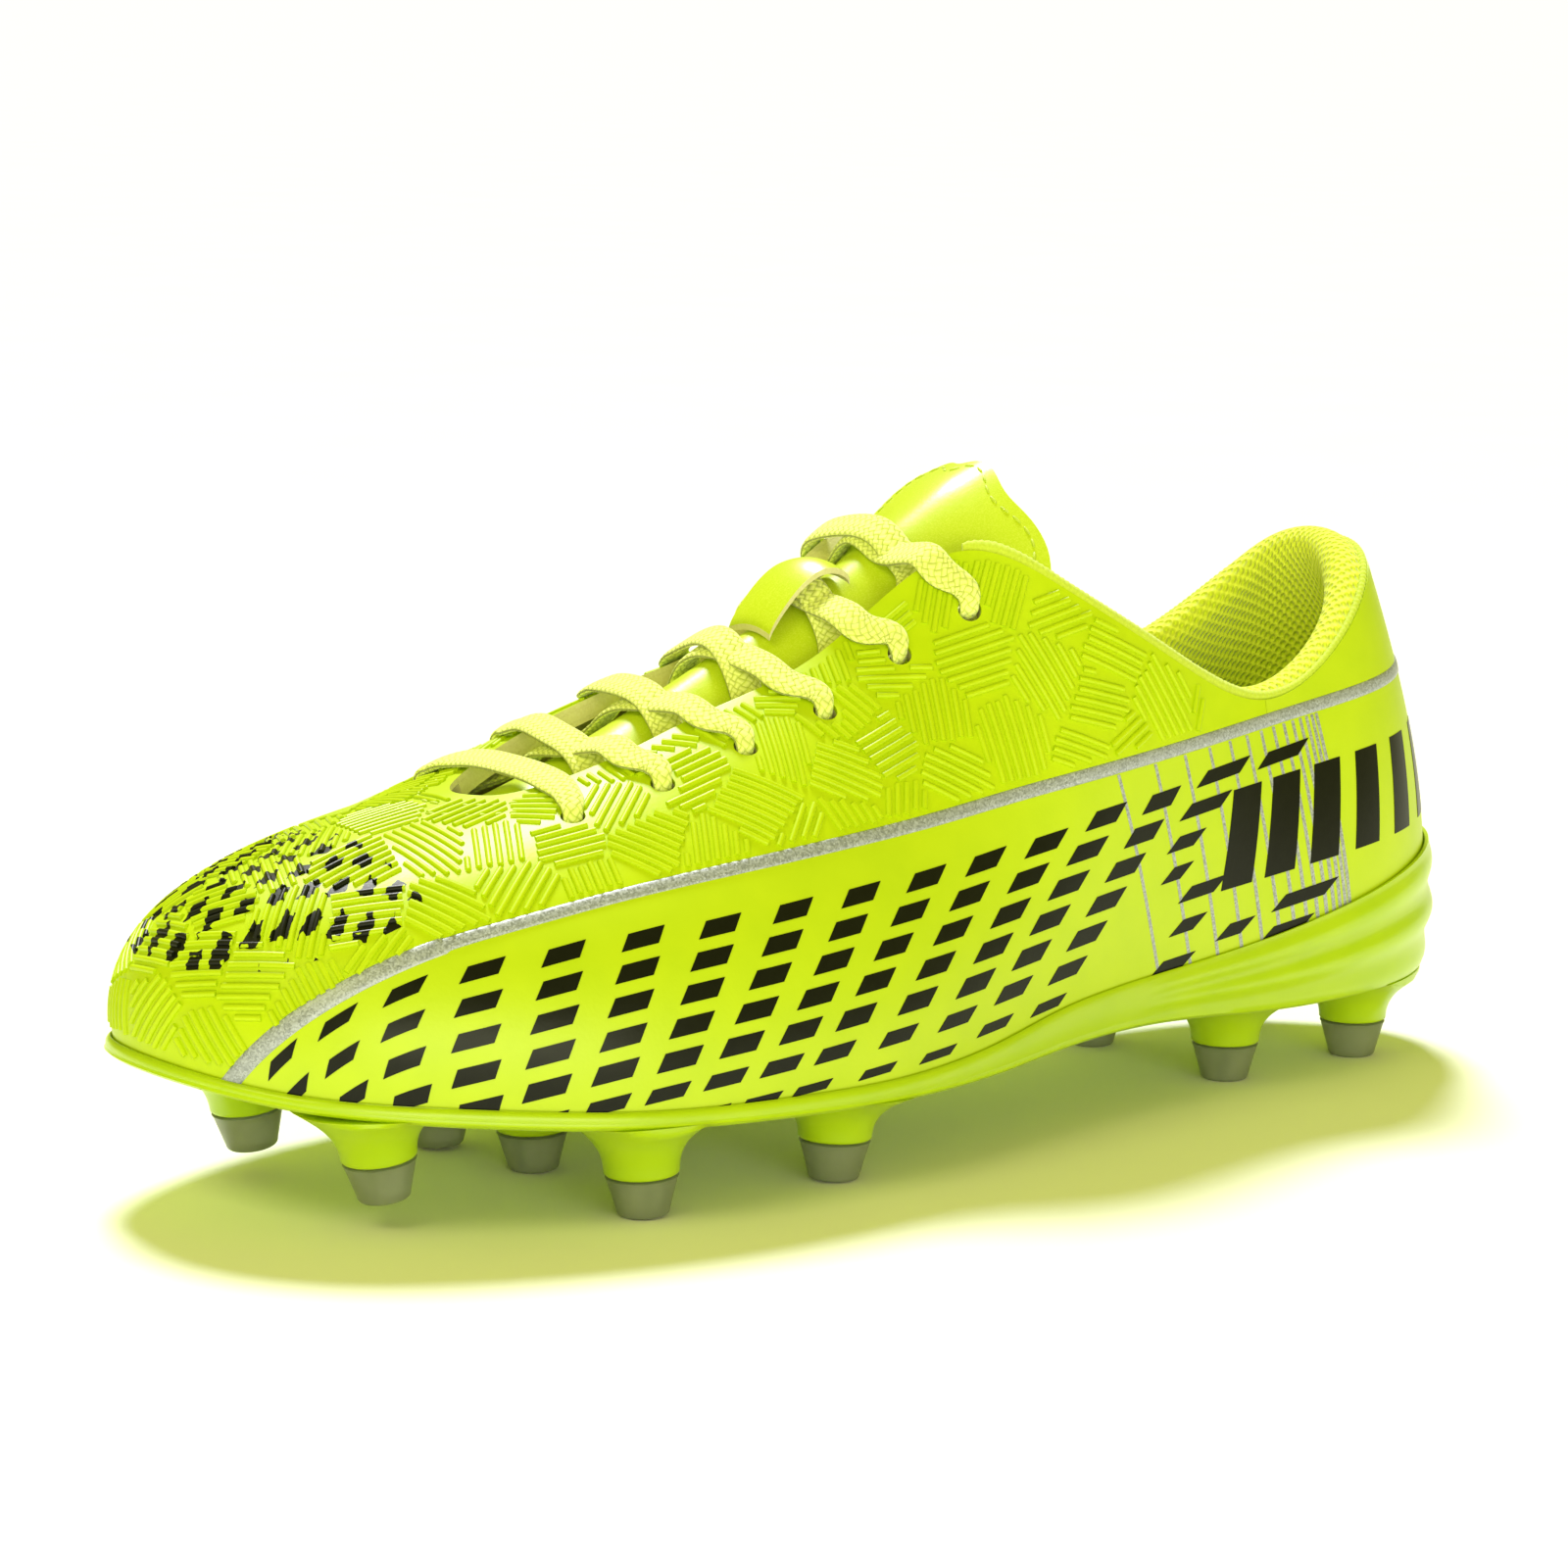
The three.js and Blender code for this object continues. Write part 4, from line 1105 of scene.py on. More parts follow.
MAPS = {"outer": SideMap(lateral), "inner": SideMap(medial)}
INK_RISE = 0.1
INK_SINK = 0.1
SILVER_RISE = 0.05


def patch(side_map, corners, columns=6, rows=4, rise=INK_RISE):
    """A thin raised patch between four corners (s, d), following the panel."""
    a, b, c, d = [np.array(corner, float) for corner in corners]
    across = np.linspace(0, 1, columns)[:, None, None]
    down = np.linspace(0, 1, rows)[None, :, None]
    upper, lower = a * (1 - across) + b * across, d * (1 - across) + c * across
    spots = upper * (1 - down) + lower * down
    u, v = side_map.at(spots[..., 0], spots[..., 1])
    return shell(sunk(u, v, -rise), sunk(u, v, INK_SINK))


def parallelogram(s, d, width, height, lean, slope=0.0):
    """Corners of a slanted block round (s, d): lean shifts its top towards the heel."""
    w, h = width / 2, height / 2
    return [(s - w + lean * h, d - h + slope * w), (s + w + lean * h, d - h - slope * w),
            (s + w - lean * h, d + h - slope * w), (s - w - lean * h, d + h + slope * w)]


def joined(name, forms, material, slot):
    """One piece made of many closed forms."""
    faces, start = [], 0
    for form in forms:
        faces.extend(tuple(k + start for k in face) for face in form.faces)
        start += len(form.points)
    points = np.concatenate([form.points for form in forms])
    return piece(name, Form(points, faces), material, slot=slot)


DASH_HEIGHT = 3.1
DASH_COLUMNS = 14
DASH_ROWS = 8
SOLE_MARGIN = 43


def dash_column(k):
    """Where a column of dashes starts, the depth of its top row, its pitch and lean."""
    s = 14 + 12.2 * k + 0.2 * k * k if k <= 9 else 140 + 14.7 * (k - 9)
    first = min(10.2, 5.0 + 0.055 * s) if s < 178 else 8.5
    pitch = min(8.6, 5.25 + 2.6 * math.exp(-(s - 30) / 22))
    lean = min(0.85, -0.3 + 0.0112 * (s - 38))
    return s, first, pitch, lean


def make_dashes(name, side_map):
    """Columns of slanted dashes under the stripe, thinner where they near the sole."""
    parts = []
    for k in range(DASH_COLUMNS):
        s, first, pitch, lean = dash_column(k)
        for row in range(DASH_ROWS):
            depth = first + pitch * row
            along = s - lean * (depth - first)
            if depth > SOLE_MARGIN or along < 8:
                continue
            thin = max(0.45, 1 - max(0, depth - 33) / 18)
            rear = min(1, max(0, (along - 50) / 100))
            width, slant = 6.2 + 1.6 * rear, 0.15 + 0.75 * rear + 0.5 * (1 - thin)
            parts.append(patch(side_map, parallelogram(
                along, depth, width, DASH_HEIGHT * thin, slant, 0.03)))
    return joined(f"{name}_panel_dashes", parts, INK, "coated_knit")


# Long slanted bars and the bold blocks between them near the heel: s, d, length.
HEEL_BARS = [(216, 6.8, 15), (232.5, 7, 14), (211, 12, 14), (206, 17.5, 10), (211, 27.5, 12),
             (204, 23, 8), (236, 34.5, 15), (208, 33.5, 9), (220, 37, 9), (232, 40, 12),
             (205, 40.5, 11)]
HEEL_BLOCKS = [221, 231.5, 242, 252.5, 263, 273.5]
BLOCK_TOP = 10.8
BLOCK_FOOT = 29


def make_heel_graphics(name, side_map):
    """The long slanted bars and the row of bold blocks over the heel counter."""
    parts = [patch(side_map, parallelogram(s, d, length - 3, 2.6, 1.3, 0.03), 10)
             for s, d, length in HEEL_BARS]
    for k, s in enumerate(HEEL_BLOCKS):
        middle, tall = (BLOCK_TOP + BLOCK_FOOT) / 2, BLOCK_FOOT - BLOCK_TOP
        width = 7.6 - 0.5 * k
        parts.append(patch(side_map, parallelogram(s, middle, width, tall, 0.16), 8, 14))
    return joined(f"{name}_heel_blocks", parts, INK, "coated_knit")


SILVER_START = 187
SILVER_SPREAD = 62
SILVER_CLOSING = 0.84
SILVER_WIDTH = 0.75
SILVER_COUNT = 14
SILVER_TOP = 1.5
SILVER_FOOT = 42


def make_silver_lines(name, side_map):
    """Thin silver lines down the quarter, closer together towards the heel."""
    parts = []
    for k in range(SILVER_COUNT):
        s = SILVER_START + SILVER_SPREAD * (1 - SILVER_CLOSING ** k)
        drift = 15 * (1 - (s - SILVER_START) / 75)
        half, foot = SILVER_WIDTH / 2, s + drift
        corners = [(s - half, SILVER_TOP), (s + half, SILVER_TOP),
                   (foot + half, SILVER_FOOT), (foot - half, SILVER_FOOT)]
        parts.append(patch(side_map, corners, 2, 30, SILVER_RISE))
    return joined(f"{name}_heel_lines", parts, SILVER, "coated_knit")


STRIPE_WIDTH = 2.5
STRIPE_RISE = 0.28


def make_stripe():
    """The silver stripe round the shoe, on the line between vamp and side panels."""
    for name, side in (("outer", lateral), ("inner", medial)):
        u = side(np.linspace(-0.01, TOE_ENDS[side] + 0.06, 420))
        line = panel_line(u)
        centre, normal = skin(u, line), outward(u, line)
        along = unit(np.gradient(centre, axis=0))
        across = unit(np.cross(normal, along))
        at_toe = np.abs(np.mod(u, RAY_COUNT) - 12) < 1.6
        width = STRIPE_WIDTH * np.where(at_toe, 1.25, 1)[:, None, None]
        offsets = np.array([-0.5, -0.4, -0.15, 0.15, 0.4, 0.5])
        rises = np.array([0.0, 0.8, 1.0, 1.0, 0.8, 0.0]) * STRIPE_RISE
        outer = (centre[:, None] + across[:, None] * (offsets[None, :, None] * width)
                 + normal[:, None] * rises[None, :, None])
        inner = outer - normal[:, None] * (rises[None, :, None] + 0.25)
        piece(f"{name}_silver_stripe", shell(outer, inner), SILVER, slot="coated_knit")


make_stripe()
for side_name, side_map in MAPS.items():
    make_dashes(side_name, side_map)
    make_heel_graphics(side_name, side_map)
    make_silver_lines(side_name, side_map)

# ------------------------------------------------------------------ swept tapes and cords


def sweep(centres, acrosses, widths, heights, sides, relief=None, power=0.8):
    """A closed tube with a flattened section; relief lifts it by the length along it."""
    centres = np.asarray(centres)
    tangent = unit(np.gradient(centres, axis=0))
    across = unit(acrosses - (acrosses * tangent).sum(-1, keepdims=True) * tangent)
    normal = np.cross(tangent, across)
    run = run_along(centres)
    angles = 2 * np.pi * (np.arange(sides) + 0.5) / sides
    c, s = np.cos(angles), np.sin(angles)
    half = np.asarray(widths)[:, None] / 2
    x = np.sign(c) * np.abs(c) ** power * half
    y = np.sign(s) * np.abs(s) ** power * np.asarray(heights)[:, None] / 2
    if relief is not None:
        lift = relief(run)[:, None]
        x, y = x + c * lift, y + s * lift
    points = centres[:, None] + across[:, None] * x[..., None] + normal[:, None] * y[..., None]
    arc = np.sign(s) * (1 - c) * half
    flat = np.stack([run[:, None] + 0 * arc, arc], -1).reshape(-1, 2)
    flat = np.vstack([flat, [[0, 0], [run[-1], 0]]])
    last = len(centres) * sides
    faces = tube_faces(len(centres), sides) + fan_faces(0, sides, last, flip=True)
    faces += fan_faces(last - sides, sides, last + 1, flip=False)
    points = np.concatenate([points.reshape(-1, 3), centres[:1], centres[-1:]])
    return Form(points, faces, None, flat)


BINDING_END = 5.85


def make_binding():
    """The collar's bound edge: ribbed, thicker in front, closed to a point at its ends."""
    u = np.linspace(-BINDING_END, BINDING_END, 720)
    up = unit(skin(u, 1) - skin(u, 0.97))
    front = np.clip((np.abs(u) - 2.4) / 1.2, 0, 1)
    front = front * front * (3 - 2 * front)
    ends = np.clip((BINDING_END - np.abs(u)) / 0.25, 0, 1) ** 0.5
    centres = sunk(u, TOPLINE, 0.9 + 1.1 * front) + up * (0.3 + 0.9 * front)[:, None]
    size = (1.4 + 1.8 * front) * (0.4 + 0.6 * ends)
    form = sweep(centres, outward(u, 1), size, size, 18,
                 relief=lambda run: 0.1 * np.cos(2 * np.pi * run / 1.15), power=1.0)
    piece("collar_tape", form, RIBBED, slot="rib_binding", replaces=["collar_binding"])


make_binding()

# ------------------------------------------------------------------ tongue

# Stations up the tongue: distance from the toe, crown y and z, reach to the lateral and
# to the medial edge, and how strongly its sides droop.
TONGUE = np.array([
    [60, 6, 62, 11, 11, 4],
    [72, 6, 66, 16, 14, 6.5],
    [90, 5.5, 73.4, 19, 15, 10.5],
    [110, 5.5, 82.8, 16, 10.3, 16],
    [132, 5.5, 93.6, 17.5, 8.5, 18],
    [148, 5, 102, 17, 8.5, 17],
    [160, 4.5, 109.6, 17, 12, 14],
    [170, 5, 115.5, 21, 14, 11.5],
    [179, 6, 119, 25, 15, 10.5],
])
TONGUE_STEPS = len(TONGUE) - 1
DROOP_WIDTH = 10
TONGUE_COVER = 1.0
TONGUE_THICKNESS = 2.9


def tongue_row(s):
    s = np.asarray(s, float)
    i = np.minimum(np.floor(s).astype(int), TONGUE_STEPS - 1)
    f = (s - i)[..., None]
    a, b, c, d = [TONGUE[np.clip(i + k, 0, TONGUE_STEPS)] for k in (-1, 0, 1, 2)]
    return b + 0.5 * f * (c - a + f * (2 * a - 5 * b + 4 * c - d + f * (3 * (b - c) + d - a)))


def tongue_top(s, w, depth=0.0):
    """Point on the tongue: w runs from -1 at the lateral to 1 at the medial edge."""
    s, w = np.broadcast_arrays(np.asarray(s, float), np.asarray(w, float))
    row = tongue_row(s)
    distance, y, z, to_lateral, to_medial, sag = [row[..., k] for k in range(6)]
    reach = np.where(w < 0, w * to_lateral, w * to_medial)
    upper = np.clip((s - 4.4) / 1.8, 0, 1)
    kept = np.where(w < 0, 1, 1 - 0.62 * upper * upper * (3 - 2 * upper))
    droop = kept * sag * (np.sqrt(1 + (reach / DROOP_WIDTH) ** 2) - 1)
    tilt = np.arctan2(droop, np.abs(reach) + 1) * np.sign(w)
    return np.stack([distance - HALF_LENGTH + depth * 0.45,
                     y + reach - depth * np.sin(tilt),
                     z - droop - depth * 0.9 * np.cos(tilt)], -1)


def scallop(w):
    """The wavy outline of the tongue's free end, in steps along it."""
    return 0.14 * np.cos(9.5 * (w + 0.08)) - 0.12 * np.abs(w) ** 6


def tongue_grid(depth, inset=0.0, rows=150, columns=41):
    w = np.linspace(-1, 1, columns)[None] * (1 - inset)
    rise = np.linspace(0, 1, rows)[:, None]
    s = rise * (TONGUE_STEPS - 0.05 + scallop(w) - inset * 0.4)
    return tongue_top(np.minimum(s, TONGUE_STEPS + 0.1), w, depth)


def make_tongue():
    """One padded piece: the cover film with the foam under it."""
    cover = shell(tongue_grid(0.0), tongue_grid(TONGUE_COVER))
    pad = shell(tongue_grid(TONGUE_COVER, 0.004), tongue_grid(TONGUE_THICKNESS, 0.02))
    count = len(cover.points)
    form = Form(np.concatenate([cover.points, pad.points]),
                cover.faces + [tuple(k + count for k in face) for face in pad.faces],
                [0] * len(cover.faces) + [1] * len(pad.faces),
                np.concatenate([cover.flat, pad.flat]))
    made = piece("padded_tongue", form, PEARL, FOAM, body=None)
    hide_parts("tongue", "tongue_pad", "tongue_flap", "tongue_flap_pad")
    return made


def bend_with_flap(made):
    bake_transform(made)


bend_with_flap(make_tongue())


STRAP_WIDTH = 12.4
STRAP_ARCH = 5.4
STRAP_THICKNESS = 1.1


def make_keeper():
    """The strap on the tongue that the laces pass under."""
    a = np.linspace(0, 1, 50)[:, None]
    b = np.linspace(0, 1, 13)[None]
    middle = tongue_top(3.72 + a[:, 0], 0)
    base = np.repeat(middle[:, None], 13, 1)
    base[..., 1] += (b - 0.5) * STRAP_WIDTH
    rise = STRAP_ARCH * np.sin(np.pi * a) ** 0.7 + 0.55 - 1.2 * (2 * b - 1) ** 2
    under, top = base.copy(), base.copy()
    under[..., 2] += rise
    top[..., 2] += rise + STRAP_THICKNESS
    piece("keeper_strap", shell(top, under), PEARL, FOAM, slot="tongue_film",
          replaces=["lace_keeper"])


make_keeper()

# ------------------------------------------------------------------ lace

LACE_WIDTH = 6.4
LACE_HEIGHT = 1.5
OVER = (LACE_WIDTH, LACE_HEIGHT)
PINCHED = (3.6, 1.8)
HALF_PINCHED = (5.0, 1.7)
UNDER_DEPTH = INSIDE_DEPTH + 1.75
REST_LIFT = -1.15
LEAVING_LIFT = 3.2
BENEATH = (2.1, 2.0)
ABOVE = (3.3, 3.9)
ROUTE_STEPS = 14
ROUTE_PITCH = 0.42
RELAX_ROUNDS = 45
TIP_LENGTH = 16


def heelward(side, u, v):
    return along_ring(u, v) * (-1 if side is lateral else 1)


def through_eyelet(side, index):
    """From outside, down through an eyelet, and back under the upper to the throat."""
    u = side(EYELETS[index])
    to_heel = side(EYELETS[index] - 0.2) - u
    across = heelward(side, u, EYELET_SHARE)
    return [
        (sunk(u, EYELET_SHARE + 0.05, REST_LIFT), HALF_PINCHED, across),
        (sunk(u, EYELET_SHARE + 0.006, -0.2), PINCHED, across),
        (sunk(u, EYELET_SHARE, 3.2), PINCHED, across),
        (sunk(u + to_heel * 0.3, EYELET_SHARE + 0.03, UNDER_DEPTH + 0.1), HALF_PINCHED, across),
        (sunk(u + to_heel * 1.1, 0.93, UNDER_DEPTH + 0.2), OVER, across),
    ]


def over_tongue(spot, lift):
    following = int(np.argmax(TONGUE[:, 0] - HALF_LENGTH > spot[0]))
    near, far = TONGUE[following - 1, 0], TONGUE[following, 0]
    s = following - 1 + (spot[0] + HALF_LENGTH - near) / (far - near)
    row = tongue_row(s)
    aside = spot[1] - row[1]
    w = aside / (row[3] if aside < 0 else row[4])
    across = tongue_top(s + 0.2, w) - tongue_top(s - 0.2, w)
    return (np.array([spot[0], spot[1], tongue_top(s, w)[2] + lift]), OVER, across)


def crossing(start_side, end_side, index, raised):
    """From the throat's edge on one side, over the tongue, to an eyelet opposite."""
    start = start_side(EYELETS[index] - 0.36)
    end = end_side(EYELETS[index + 1] + 0.18)
    under = sunk(start, 1.0, UNDER_DEPTH)
    landing = sunk(end, 0.95, REST_LIFT - 0.1)
    edge = sunk(end, 1.0, REST_LIFT - 0.5)
    beside, crown = ABOVE if raised else BENEATH
    lifts = ((0.16, LEAVING_LIFT), (0.33, beside), (0.56, crown))
    return [
        (under, OVER, heelward(start_side, start, 0.98)),
        *[over_tongue(under + (edge - under) * part, lift) for part, lift in lifts],
        (edge, OVER, heelward(end_side, end, 0.99)),
        (landing, OVER, heelward(end_side, end, 0.96)),
    ]


def tail(side):
    """The loose end inside: along the lining, forward under the eyelet row."""
    wall = np.array([0, 0, 1.0])
    stations = []
    for i, ray in enumerate([6.15, 6.5, 7, 7.5, 8, 8.5]):
        v = 0.7 if i == 0 else 0.6
        stations.append((sunk(side(ray), v, UNDER_DEPTH + 1.6),
                         HALF_PINCHED if i == 0 else OVER, wall))
    return stations


def lace_half(first, second, raised_side):
    sides = [first, second]
    stations = []
    for index in range(len(EYELETS)):
        near, far = sides[index % 2], sides[(index + 1) % 2]
        stations += through_eyelet(near, index)
        if index + 1 < len(EYELETS):
            stations += crossing(near, far, index, near is raised_side)
    stations.pop()
    return stations + tail(sides[(len(EYELETS) - 1) % 2])


def lace_bar():
    """The straight bar over the foot of the throat, between the lowest eyelets."""
    ends = []
    for side in (lateral, medial):
        u = side(EYELETS[0] + 0.12)
        ends.append((sunk(u, 0.97, REST_LIFT), OVER, heelward(side, u, 0.97)))
    middle = (ends[0][0] + ends[1][0]) / 2 + np.array([0, 0, 0.8])
    return [ends[0], (middle, OVER, (ends[0][2] + ends[1][2]) / 2), ends[1]]


def smooth_route(controls, steps):
    """A centripetal curve through the controls, with widths and directions between."""
    points = np.array([c[0] for c in controls])
    shapes = np.array([c[1] for c in controls], float)
    turns = np.array([c[2] for c in controls])
    ends = [2 * points[0] - points[1], *points, 2 * points[-1] - points[-2]]
    rows = []
    for k in range(len(points) - 1):
        p0, p1, p2, p3 = ends[k:k + 4]
        d0, d1, d2 = [np.sqrt(np.linalg.norm(b - a)) for a, b in ((p0, p1), (p1, p2), (p2, p3))]
        t1 = ((p1 - p0) / d0 - (p2 - p0) / (d0 + d1) + (p2 - p1) / d1) * d1
        t2 = ((p2 - p1) / d1 - (p3 - p1) / (d1 + d2) + (p3 - p2) / d2) * d1
        f = np.linspace(0, 1, steps, endpoint=False)[:, None]
        at = (p1 + t1 * f + (-3 * p1 + 3 * p2 - 2 * t1 - t2) * f ** 2
              + (2 * p1 - 2 * p2 + t1 + t2) * f ** 3)
        ease = f * f * (3 - 2 * f)
        rows.append(np.hstack([at, shapes[k] * (1 - ease) + shapes[k + 1] * ease,
                               turns[k] * (1 - ease) + turns[k + 1] * ease]))
    return np.vstack([*rows, np.hstack([points[-1], shapes[-1], turns[-1]])])


def relaxed(route):
    """Pulls the full-width stretches taut; those inside an eyelet stay in place."""
    for _ in range(RELAX_ROUNDS):
        middle = (route[:-2, :3] + route[2:, :3]) / 2
        pull = np.clip((route[1:-1, 3:4] - 4.3) / 1.8, 0, 1) * 0.5
        route[1:-1, :3] += (middle - route[1:-1, :3]) * pull
    return route


def even_steps(route, step):
    """The route again, with its points the same distance apart."""
    run = run_along(route[:, :3])
    places = np.linspace(0, run[-1], int(run[-1] / step) + 1)
    return np.stack([np.interp(places, run, route[:, k]) for k in range(route.shape[1])], 1)


def make_lace():
    """The whole lace, from one tucked end over the foot of the throat to the other."""
    controls = [*reversed(lace_half(lateral, medial, lateral)), *lace_bar(),
                *lace_half(medial, lateral, lateral)]
    route = relaxed(even_steps(smooth_route(controls, ROUTE_STEPS), ROUTE_PITCH))
    form = sweep(route[:, :3], route[:, 5:8], route[:, 3], route[:, 4], 24, power=0.75)
    piece("braided_lace", form, BRAID, slot="lace_braid", replaces=["lace"])
    make_lace_tip("medial", route[0], route[2])
    make_lace_tip("lateral", route[-1], route[-3])


def make_lace_tip(name, end, before):
    """A wound film tip that carries the lace on straight past its end."""
    reach = np.linspace(GAP, TIP_LENGTH, 24)
    centres = end[:3] + unit(end[:3] - before[:3]) * reach[:, None]
    taper = 1 - 0.2 * (reach / TIP_LENGTH) ** 6
    form = sweep(centres, np.repeat(end[None, 5:8], 24, 0), 3.4 * taper, 2.6 * taper, 20,
                 power=1.0)
    piece(f"lace_tip_{name}", form, FILM, slot="clear_film", replaces=[f"aglet_{name}"])


make_lace()

# ------------------------------------------------------------------ stitches

STITCH_LENGTH = 2.1
STITCH_PITCH = 2.9
STITCH_RADIUS = 0.28
HEM_REACH = 0.9
HEM_FOOT = 6.2
HEM_DEPTH = -0.08


def stitch_tree():
    """Long beads of thread, one after another along every line."""
    tree, given, result = node_tree("lockstitch", [
        ("Pitch", "NodeSocketFloat"), ("Radius", "NodeSocketFloat"),
        ("Length", "NodeSocketFloat"), ("Material", "NodeSocketMaterial")])
    spread = tree.nodes.new("GeometryNodeCurveToPoints")
    spread.mode = "LENGTH"
    bead = tree.nodes.new("GeometryNodeMeshUVSphere")
    bead.inputs["Segments"].default_value = 8
    bead.inputs["Rings"].default_value = 6
    scatter = tree.nodes.new("GeometryNodeInstanceOnPoints")
    stretch = tree.nodes.new("ShaderNodeCombineXYZ")
    smooth = tree.nodes.new("GeometryNodeSetShadeSmooth")
    whole = tree.nodes.new("GeometryNodeRealizeInstances")
    coat = tree.nodes.new("GeometryNodeSetMaterial")
    for start, end in (
            (given.outputs["Geometry"], spread.inputs["Curve"]),
            (given.outputs["Pitch"], spread.inputs["Length"]),
            (spread.outputs["Points"], scatter.inputs["Points"]),
            (spread.outputs["Rotation"], scatter.inputs["Rotation"]),
            (bead.outputs["Mesh"], scatter.inputs["Instance"]),
            (given.outputs["Radius"], stretch.inputs["X"]),
            (given.outputs["Radius"], stretch.inputs["Y"]),
            (given.outputs["Length"], stretch.inputs["Z"]),
            (stretch.outputs["Vector"], scatter.inputs["Scale"]),
            (scatter.outputs["Instances"], whole.inputs["Geometry"]),
            (whole.outputs["Geometry"], smooth.inputs["Geometry"]),
            (smooth.outputs["Geometry"], coat.inputs["Geometry"]),
            (given.outputs["Material"], coat.inputs["Material"]),
            (coat.outputs["Geometry"], result.inputs["Geometry"])):
        tree.links.new(start, end)
    return tree


STITCHES = stitch_tree()


def sew(name, lines):
    """Rows of stitches along lines of points."""
    source = curve_object(f"{name}_path", lines)
    return grow(source, name, STITCHES, {
        "Pitch": STITCH_PITCH * MM, "Radius": STITCH_RADIUS * MM,
        "Length": STITCH_LENGTH / 2 * MM, "Material": THREAD})


def tongue_hem():
    """A row of stitches inside the tongue's free edge."""
    w = np.linspace(-HEM_REACH, HEM_REACH, 60)
    top = TONGUE_STEPS - 0.05 + scallop(w) - 0.36
    across = tongue_top(top, w, HEM_DEPTH)
    left = tongue_top(np.linspace(top[0], HEM_FOOT, 20), -HEM_REACH, HEM_DEPTH)
    right = tongue_top(np.linspace(top[-1], HEM_FOOT, 20), HEM_REACH, HEM_DEPTH)
    return np.vstack([left[::-1], across, right])


def throat_seam(share_down):
    """A row of stitches round the foot of the throat, below the lowest eyelets."""
    return sunk(np.linspace(10.15, 13.9, 60), share_down, -0.1)


bend_with_flap(sew("tongue_hem_stitches", [tongue_hem()]))
finish_piece(sew("throat_seam_stitches", [throat_seam(0.9), throat_seam(0.94)]), SHOE)

# ------------------------------------------------------------------ sole unit

FLOOR_THICKNESS = 1.8
RIM = 1.6
TIP_HEIGHT = 7
TIP_FOOT_RADIUS = 4.6
TIP_TOP_RADIUS = 6.3
SEAT_RADIUS = 6.5
ROOT_DEPTH = 0.7
STUD_SIDES = 48
SOLE_RAYS = 288

# Where each stud meets the ground: distance from the toe, y, height of its lowest face
# and lean towards the toe in degrees.
STUDS = {
    "toe_medial": (32, 23, 4.8, -8),
    "toe_lateral": (32.5, -19.5, 4.5, -8),
    "ball_medial": (70, 22, 0.4, -3),
    "ball_centre": (75, -1, 0, -2),
    "ball_lateral": (73, -37.5, 0, -3),
    "waist_lateral": (114.5, -36.5, 0, 2),
    "waist_medial": (113, 34, 0, 2),
    "heel_front_lateral": (223, -18.5, 0, 0),
    "heel_front_medial": (221, 18.5, 0, 0),
    "heel_rear_lateral": (257.5, -17.5, 0, 0),
    "heel_rear_medial": (257, 16.5, 0, 0),
}


def plate_bottom_at(distance, y):
    """Height of the plate's underside, which runs straight across between its edges."""
    steps = np.arange(11.6, 0.3, -0.1)
    near, far = ray_values(lateral(steps)), ray_values(medial(steps))
    near_y, near_z, far_y, far_z = [np.interp(distance, side[:, 0], side[:, k])
                                    for side in (near, far) for k in (1, 2)]
    across = np.clip((y - near_y) / (far_y - near_y), 0, 1)
    return near_z * (1 - across) + far_z * across - FLOOR_THICKNESS


def lathe(profile, sides):
    """A closed solid turned about Z; the profile starts and ends on the axis."""
    angles = 2 * np.pi * np.arange(sides) / sides
    rings = profile[1:-1]
    points = [(0, 0, profile[0][1]), (0, 0, profile[-1][1])]
    for r, h in rings:
        points.extend((r * math.cos(a), r * math.sin(a), h) for a in angles)
    faces = tube_faces(len(rings), sides, 2) + fan_faces(2, sides, 0, flip=True)
    faces += fan_faces(2 + (len(rings) - 1) * sides, sides, 1, flip=False)
    return Form(np.array(points, float), faces)


def at_stud(points, stud):
    distance, y, z, lean = stud
    angle = math.radians(lean)
    c, s = math.cos(angle), math.sin(angle)
    turned = points @ np.array([[c, 0, -s], [0, 1, 0], [s, 0, c]])
    drop = TIP_FOOT_RADIUS * abs(s)
    return turned + np.array([distance - HALF_LENGTH, y, z + drop])


def stud_tip(stud):
    """A smoked cone with a rounded foot, widest where it meets its tower."""
    edge = 0.9
    profile = [(0, 0), (TIP_FOOT_RADIUS - edge, 0)]
    for angle in np.radians(np.arange(15, 91, 15)):
        profile.append((TIP_FOOT_RADIUS - edge + edge * math.sin(angle),
                        edge * (1 - math.cos(angle))))
    slope = (TIP_TOP_RADIUS - TIP_FOOT_RADIUS) / (TIP_HEIGHT - edge)
    for h in np.linspace(edge, TIP_HEIGHT - 0.6, 5)[1:]:
        profile.append((TIP_FOOT_RADIUS + slope * (h - edge), h))
    profile += [(TIP_TOP_RADIUS + 0.05, TIP_HEIGHT - 0.2), (TIP_TOP_RADIUS - 0.2, TIP_HEIGHT),
                (0, TIP_HEIGHT)]
    form = lathe(profile, STUD_SIDES)
    return form._replace(points=at_stud(form.points, stud))


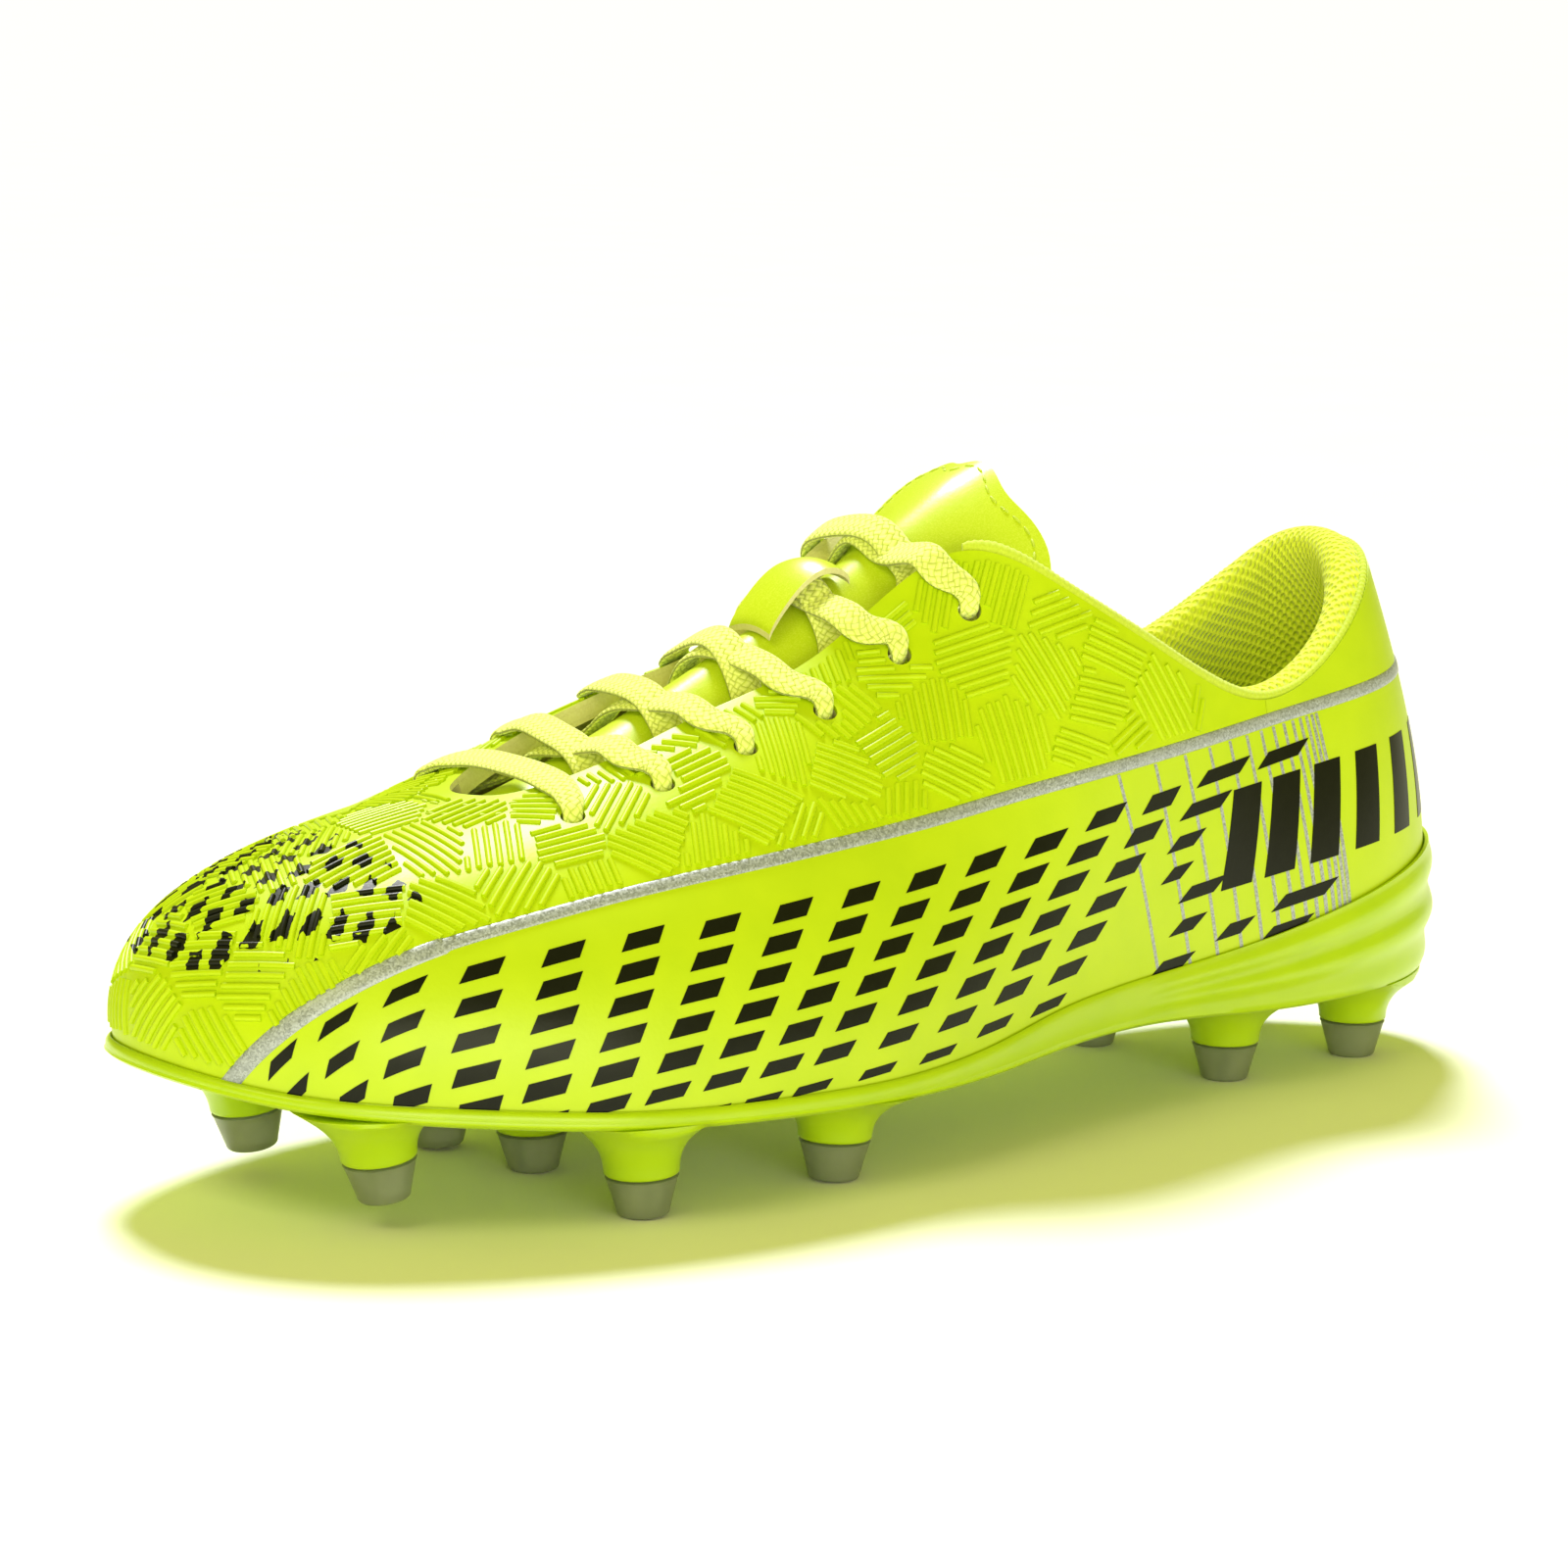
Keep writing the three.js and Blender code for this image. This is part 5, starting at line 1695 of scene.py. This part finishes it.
def stud_tower(stud):
    """The neon seat of a stud, flaring smoothly into the plate."""
    root = plate_bottom_at(stud[0], stud[1]) + ROOT_DEPTH - stud[2]
    base = TIP_HEIGHT + GAP
    profile = [(0, base), (SEAT_RADIUS - 0.25, base), (SEAT_RADIUS, base + 0.25)]
    for f in np.linspace(0.08, 1, 14):
        flare = 0.4 * f + 7.5 * f ** 2.6
        profile.append((SEAT_RADIUS + flare, base + (root - base) * f))
    profile.append((0, root))
    form = lathe(profile, STUD_SIDES)
    share_up = ((form.points[:, 2] - base) / (root - base)).clip(0, 1)
    placed = inside_outline(at_stud(form.points, stud))
    local = plate_bottom_at(placed[:, 0] + HALF_LENGTH, placed[:, 1]) + ROOT_DEPTH
    placed[:, 2] += share_up ** 2 * (local - root - stud[2])
    return form._replace(points=placed)


def inside_outline(points):
    """Moves points that stand outside the plate's outline back onto it."""
    u = np.arange(0, RAY_COUNT, 0.02)
    edge = sunk(u, 0, -(GAP + RIM) * 0.85)[:, :2]
    along = np.gradient(edge, axis=0)
    out = unit(np.stack([-along[:, 1], along[:, 0]], -1))
    gap = np.linalg.norm(points[:, None, :2] - edge[None], axis=-1)
    near = gap.argmin(1)
    beyond = ((points[:, :2] - edge[near]) * out[near]).sum(-1).clip(0)
    moved = points.copy()
    moved[:, :2] -= out[near] * beyond[:, None]
    return moved


def sole_section(u):
    """Points of the plate's section on ray u, from the inner foot round to the inner lip."""
    edge = sole_edge(u)
    foot_height = ray_values(u)[..., 2]
    heel = np.clip(1 - np.minimum(u, RAY_COUNT - u) / 4.2, 0, 1)

    def foot_point(depth, drop):
        point = sunk(u, 0, depth)
        point[..., 2] = foot_height - drop
        return point

    rows = [foot_point(4, FLOOR_THICKNESS)]
    for angle in np.radians((0, 25, 50, 70)):
        rows.append(foot_point(1.6 - (1.6 + GAP + RIM) * math.sin(angle),
                               FLOOR_THICKNESS * math.cos(angle)))
    for f in np.linspace(0.06, 1, 30):
        wave = np.sin(2 * np.pi * (2.5 * f + 0.1 * np.abs(np.mod(u + 12, 24) - 12)))
        groove = 0.7 * heel ** 0.6 * wave * math.sin(math.pi * f) ** 0.5
        thin = 0.02 + 1.1 * math.sqrt(1 - 0.99 * f * f)
        thickness = thin * (1 - heel) + RIM * (1 - 0.35 * f * f) * heel
        rows.append(sunk(u, edge * f, -(GAP + thickness + groove)))
    rows.append(sunk(u, edge + 0.001, -GAP - 0.1))
    for f in (0.75, 0.5, 0.25):
        rows.append(sunk(u, edge * f, -GAP - 0.12))
    rows.append(foot_point(-GAP - 0.1, GAP))
    return np.stack(rows, 1)


def make_sole():
    """The neon plate with its towers, and the eleven smoked tips on them."""
    u = np.arange(SOLE_RAYS) * RAY_COUNT / SOLE_RAYS
    forms = [closed_slab(sole_section(u)), *map(stud_tower, STUDS.values())]
    made = joined("moulded_sole", forms, SOLE, "sole_tpu")
    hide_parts("outsole_plate")
    for name, stud in STUDS.items():
        piece(f"smoked_tip_{name}", stud_tip(stud), SMOKED, slot="smoked_tpu",
              replaces=[f"stud_tip_{name}"])


make_sole()


# The sockliner's rounded edge: how far in from its outline, and height above its foot.
SOCKLINER_PROFILE = ((2.5, 0.0), (0.6, 0.0), (0.1, 0.5), (0.0, 1.2), (0.0, 2.2), (0.3, 2.9),
                     (0.9, 3.2), (4.0, 3.2))
SOCKLINER_RAYS = 240


def make_sockliner():
    """The foam insole: a slab that follows the plate, with rounded edges."""
    u = np.arange(SOCKLINER_RAYS) * RAY_COUNT / SOCKLINER_RAYS
    foot = ray_values(u)[:, 2] + 2.4
    rings = []
    for inward, height in SOCKLINER_PROFILE:
        ring = sunk(u, 0.05, INSIDE_DEPTH + 1.2 + inward)
        ring[:, 2] = foot + height
        rings.append(ring)
    made = piece("foam_sockliner", closed_slab(np.stack(rings, 1)), INSOLE, body="sockliner",
                 slot="sockliner_foam", replaces=["sockliner"])


make_sockliner()

# ------------------------------------------------------------------ hidden CAD pieces

for node in ("lasting_board", "toe_puff", "heel_counter"):
    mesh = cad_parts[node].data
    mesh.materials.clear()
    mesh.materials.append(BOARD)
